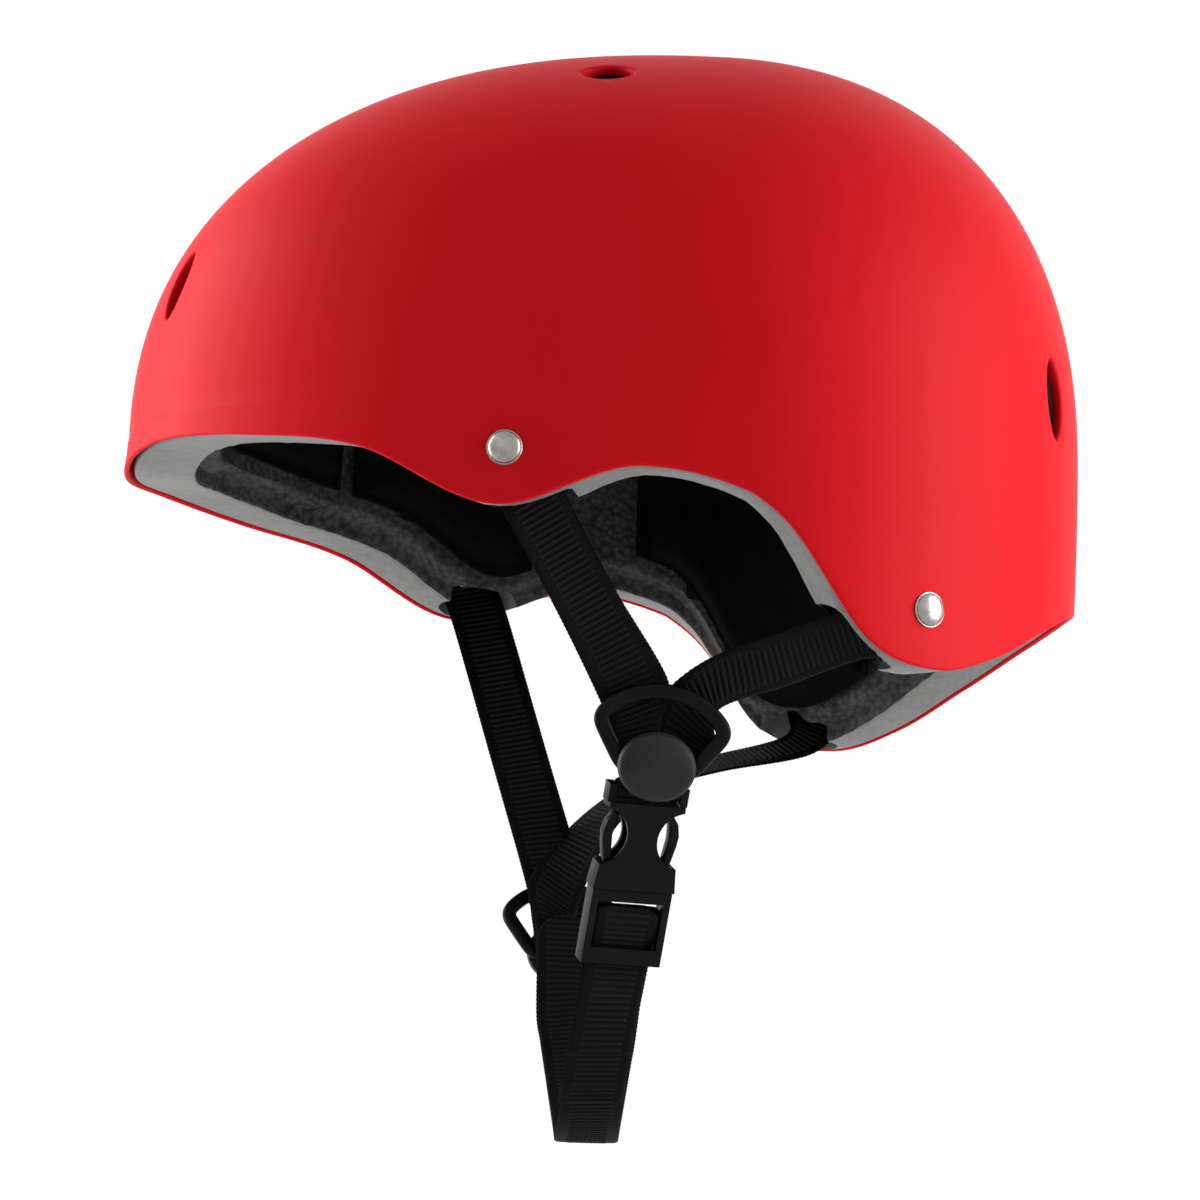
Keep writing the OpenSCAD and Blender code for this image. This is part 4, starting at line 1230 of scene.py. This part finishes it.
class HelmetLook(bpy.types.PropertyGroup):
    """Colours and mesh density of the helmet."""

    shell_colour: bpy.props.FloatVectorProperty(
        name="Shell colour", description="Colour of the hard shell", subtype="COLOR",
        default=(0.68, 0.007, 0.014), min=0, max=1)
    shell_around: bpy.props.IntProperty(
        name="Shell steps", description="Steps round the shell", default=288, min=96, max=360)
    liner_around: bpy.props.IntProperty(
        name="Liner steps", description="Steps round the liner", default=240, min=96, max=360)


class StudioLook(bpy.types.PropertyGroup):
    """Light and floor of the stage."""

    side_power: bpy.props.FloatProperty(
        name="Side lights", description="Power of each side light", unit="POWER", default=21.0, min=0)
    light_forward: bpy.props.FloatProperty(
        name="Lights forward", description="How far the side lights stand towards the camera",
        unit="LENGTH", default=0.0)
    fill: bpy.props.FloatProperty(
        name="Fill", description="Strength of the even light from all round", default=0.16, min=0)
    floor_height: bpy.props.FloatProperty(
        name="Floor height", description="Height of the floor", unit="LENGTH", default=-0.42)


class HELMET_OT_stage(bpy.types.Operator):
    """Make the camera, the lights and the floor"""

    bl_idname = "helmet.stage"
    bl_label = "Stage"

    def execute(self, context):
        s = context.scene.helmet_studio
        build_camera()
        build_world(s.fill)
        build_floor(s.floor_height)
        for name, x, y in (("left_light", 1.05, -0.2), ("right_light", -1.2, 0.42)):
            area_light(name, (x, y + s.light_forward, 0.2), (0.8, 1.4), s.side_power)
        context.scene.view_settings.view_transform = "Standard"
        return {"FINISHED"}


class HELMET_OT_materials(bpy.types.Operator):
    """Make the shared node groups and every finish"""

    bl_idname = "helmet.materials"
    bl_label = "Finishes"

    def execute(self, context):
        make_materials(context.scene.helmet_look)
        return {"FINISHED"}


class HELMET_OT_shell(bpy.types.Operator):
    """Make the hard shell with its vents"""

    bl_idname = "helmet.shell"
    bl_label = "Shell"

    def execute(self, context):
        build_shell(context.scene.helmet_look)
        return {"FINISHED"}


class HELMET_OT_liner(bpy.types.Operator):
    """Make the foam liner"""

    bl_idname = "helmet.liner"
    bl_label = "Liner"

    def execute(self, context):
        build_liner(context.scene.helmet_look)
        return {"FINISHED"}


class HELMET_OT_pads(bpy.types.Operator):
    """Make the comfort pads and the hook patches behind them"""

    bl_idname = "helmet.pads"
    bl_label = "Pads"

    def execute(self, context):
        for name, spec in PADS.items():
            build_wall_pad(name, spec)
        build_crown_pad()
        build_hook_patches()
        return {"FINISHED"}


class HELMET_OT_rivets(bpy.types.Operator):
    """Make the rivets and their washers"""

    bl_idname = "helmet.rivets"
    bl_label = "Rivets"

    def execute(self, context):
        for name, spec in RIVETS.items():
            build_rivet(name, spec)
        build_washers()
        return {"FINISHED"}


class HELMET_OT_webbing(bpy.types.Operator):
    """Make the side straps, the chin strap and the socket's loop"""

    bl_idname = "helmet.webbing"
    bl_label = "Webbing"

    def execute(self, context):
        for name in STRAPS:
            build_side_strap(name)
        build_chin_straps()
        build_socket_tab()
        return {"FINISHED"}


class HELMET_OT_dividers(bpy.types.Operator):
    """Make the strap dividers: ring, cap and pin on each side"""

    bl_idname = "helmet.dividers"
    bl_label = "Dividers"

    def execute(self, context):
        for name, f, head_r, strap_y in (("left", LEFT, 4.4, 0), ("right", RIGHT, 6.0, INNER_Y)):
            build_ring(name, f)
            build_button(name, f)
            build_post(name, f, head_r, strap_y)
        return {"FINISHED"}


class HELMET_OT_buckle(bpy.types.Operator):
    """Make the side release buckle"""

    bl_idname = "helmet.buckle"
    bl_label = "Buckle"

    def execute(self, context):
        build_buckle()
        return {"FINISHED"}


STEPS = (HELMET_OT_stage, HELMET_OT_materials, HELMET_OT_shell, HELMET_OT_liner, HELMET_OT_pads,
         HELMET_OT_rivets, HELMET_OT_webbing, HELMET_OT_dividers, HELMET_OT_buckle)


class HELMET_PT_panel(bpy.types.Panel):
    """The helmet's settings and the buttons that build it"""

    bl_label = "Helmet"
    bl_space_type = "VIEW_3D"
    bl_region_type = "UI"
    bl_category = "Helmet"

    def draw(self, context):
        for group in (context.scene.helmet_look, context.scene.helmet_studio):
            for key in group.__annotations__:
                self.layout.prop(group, key)
        for step in STEPS:
            self.layout.operator(step.bl_idname)


CLASSES = (HelmetLook, StudioLook, *STEPS, HELMET_PT_panel)


def register():
    for c in CLASSES:
        bpy.utils.register_class(c)
    bpy.types.Scene.helmet_look = bpy.props.PointerProperty(type=HelmetLook)
    bpy.types.Scene.helmet_studio = bpy.props.PointerProperty(type=StudioLook)


def unregister():
    del bpy.types.Scene.helmet_look
    del bpy.types.Scene.helmet_studio
    for c in reversed(CLASSES):
        bpy.utils.unregister_class(c)


def main():
    """Builds the whole scene."""
    register()
    for step in STEPS:
        getattr(bpy.ops.helmet, step.bl_idname.split(".")[1])()


if __name__ == "__main__":
    main()
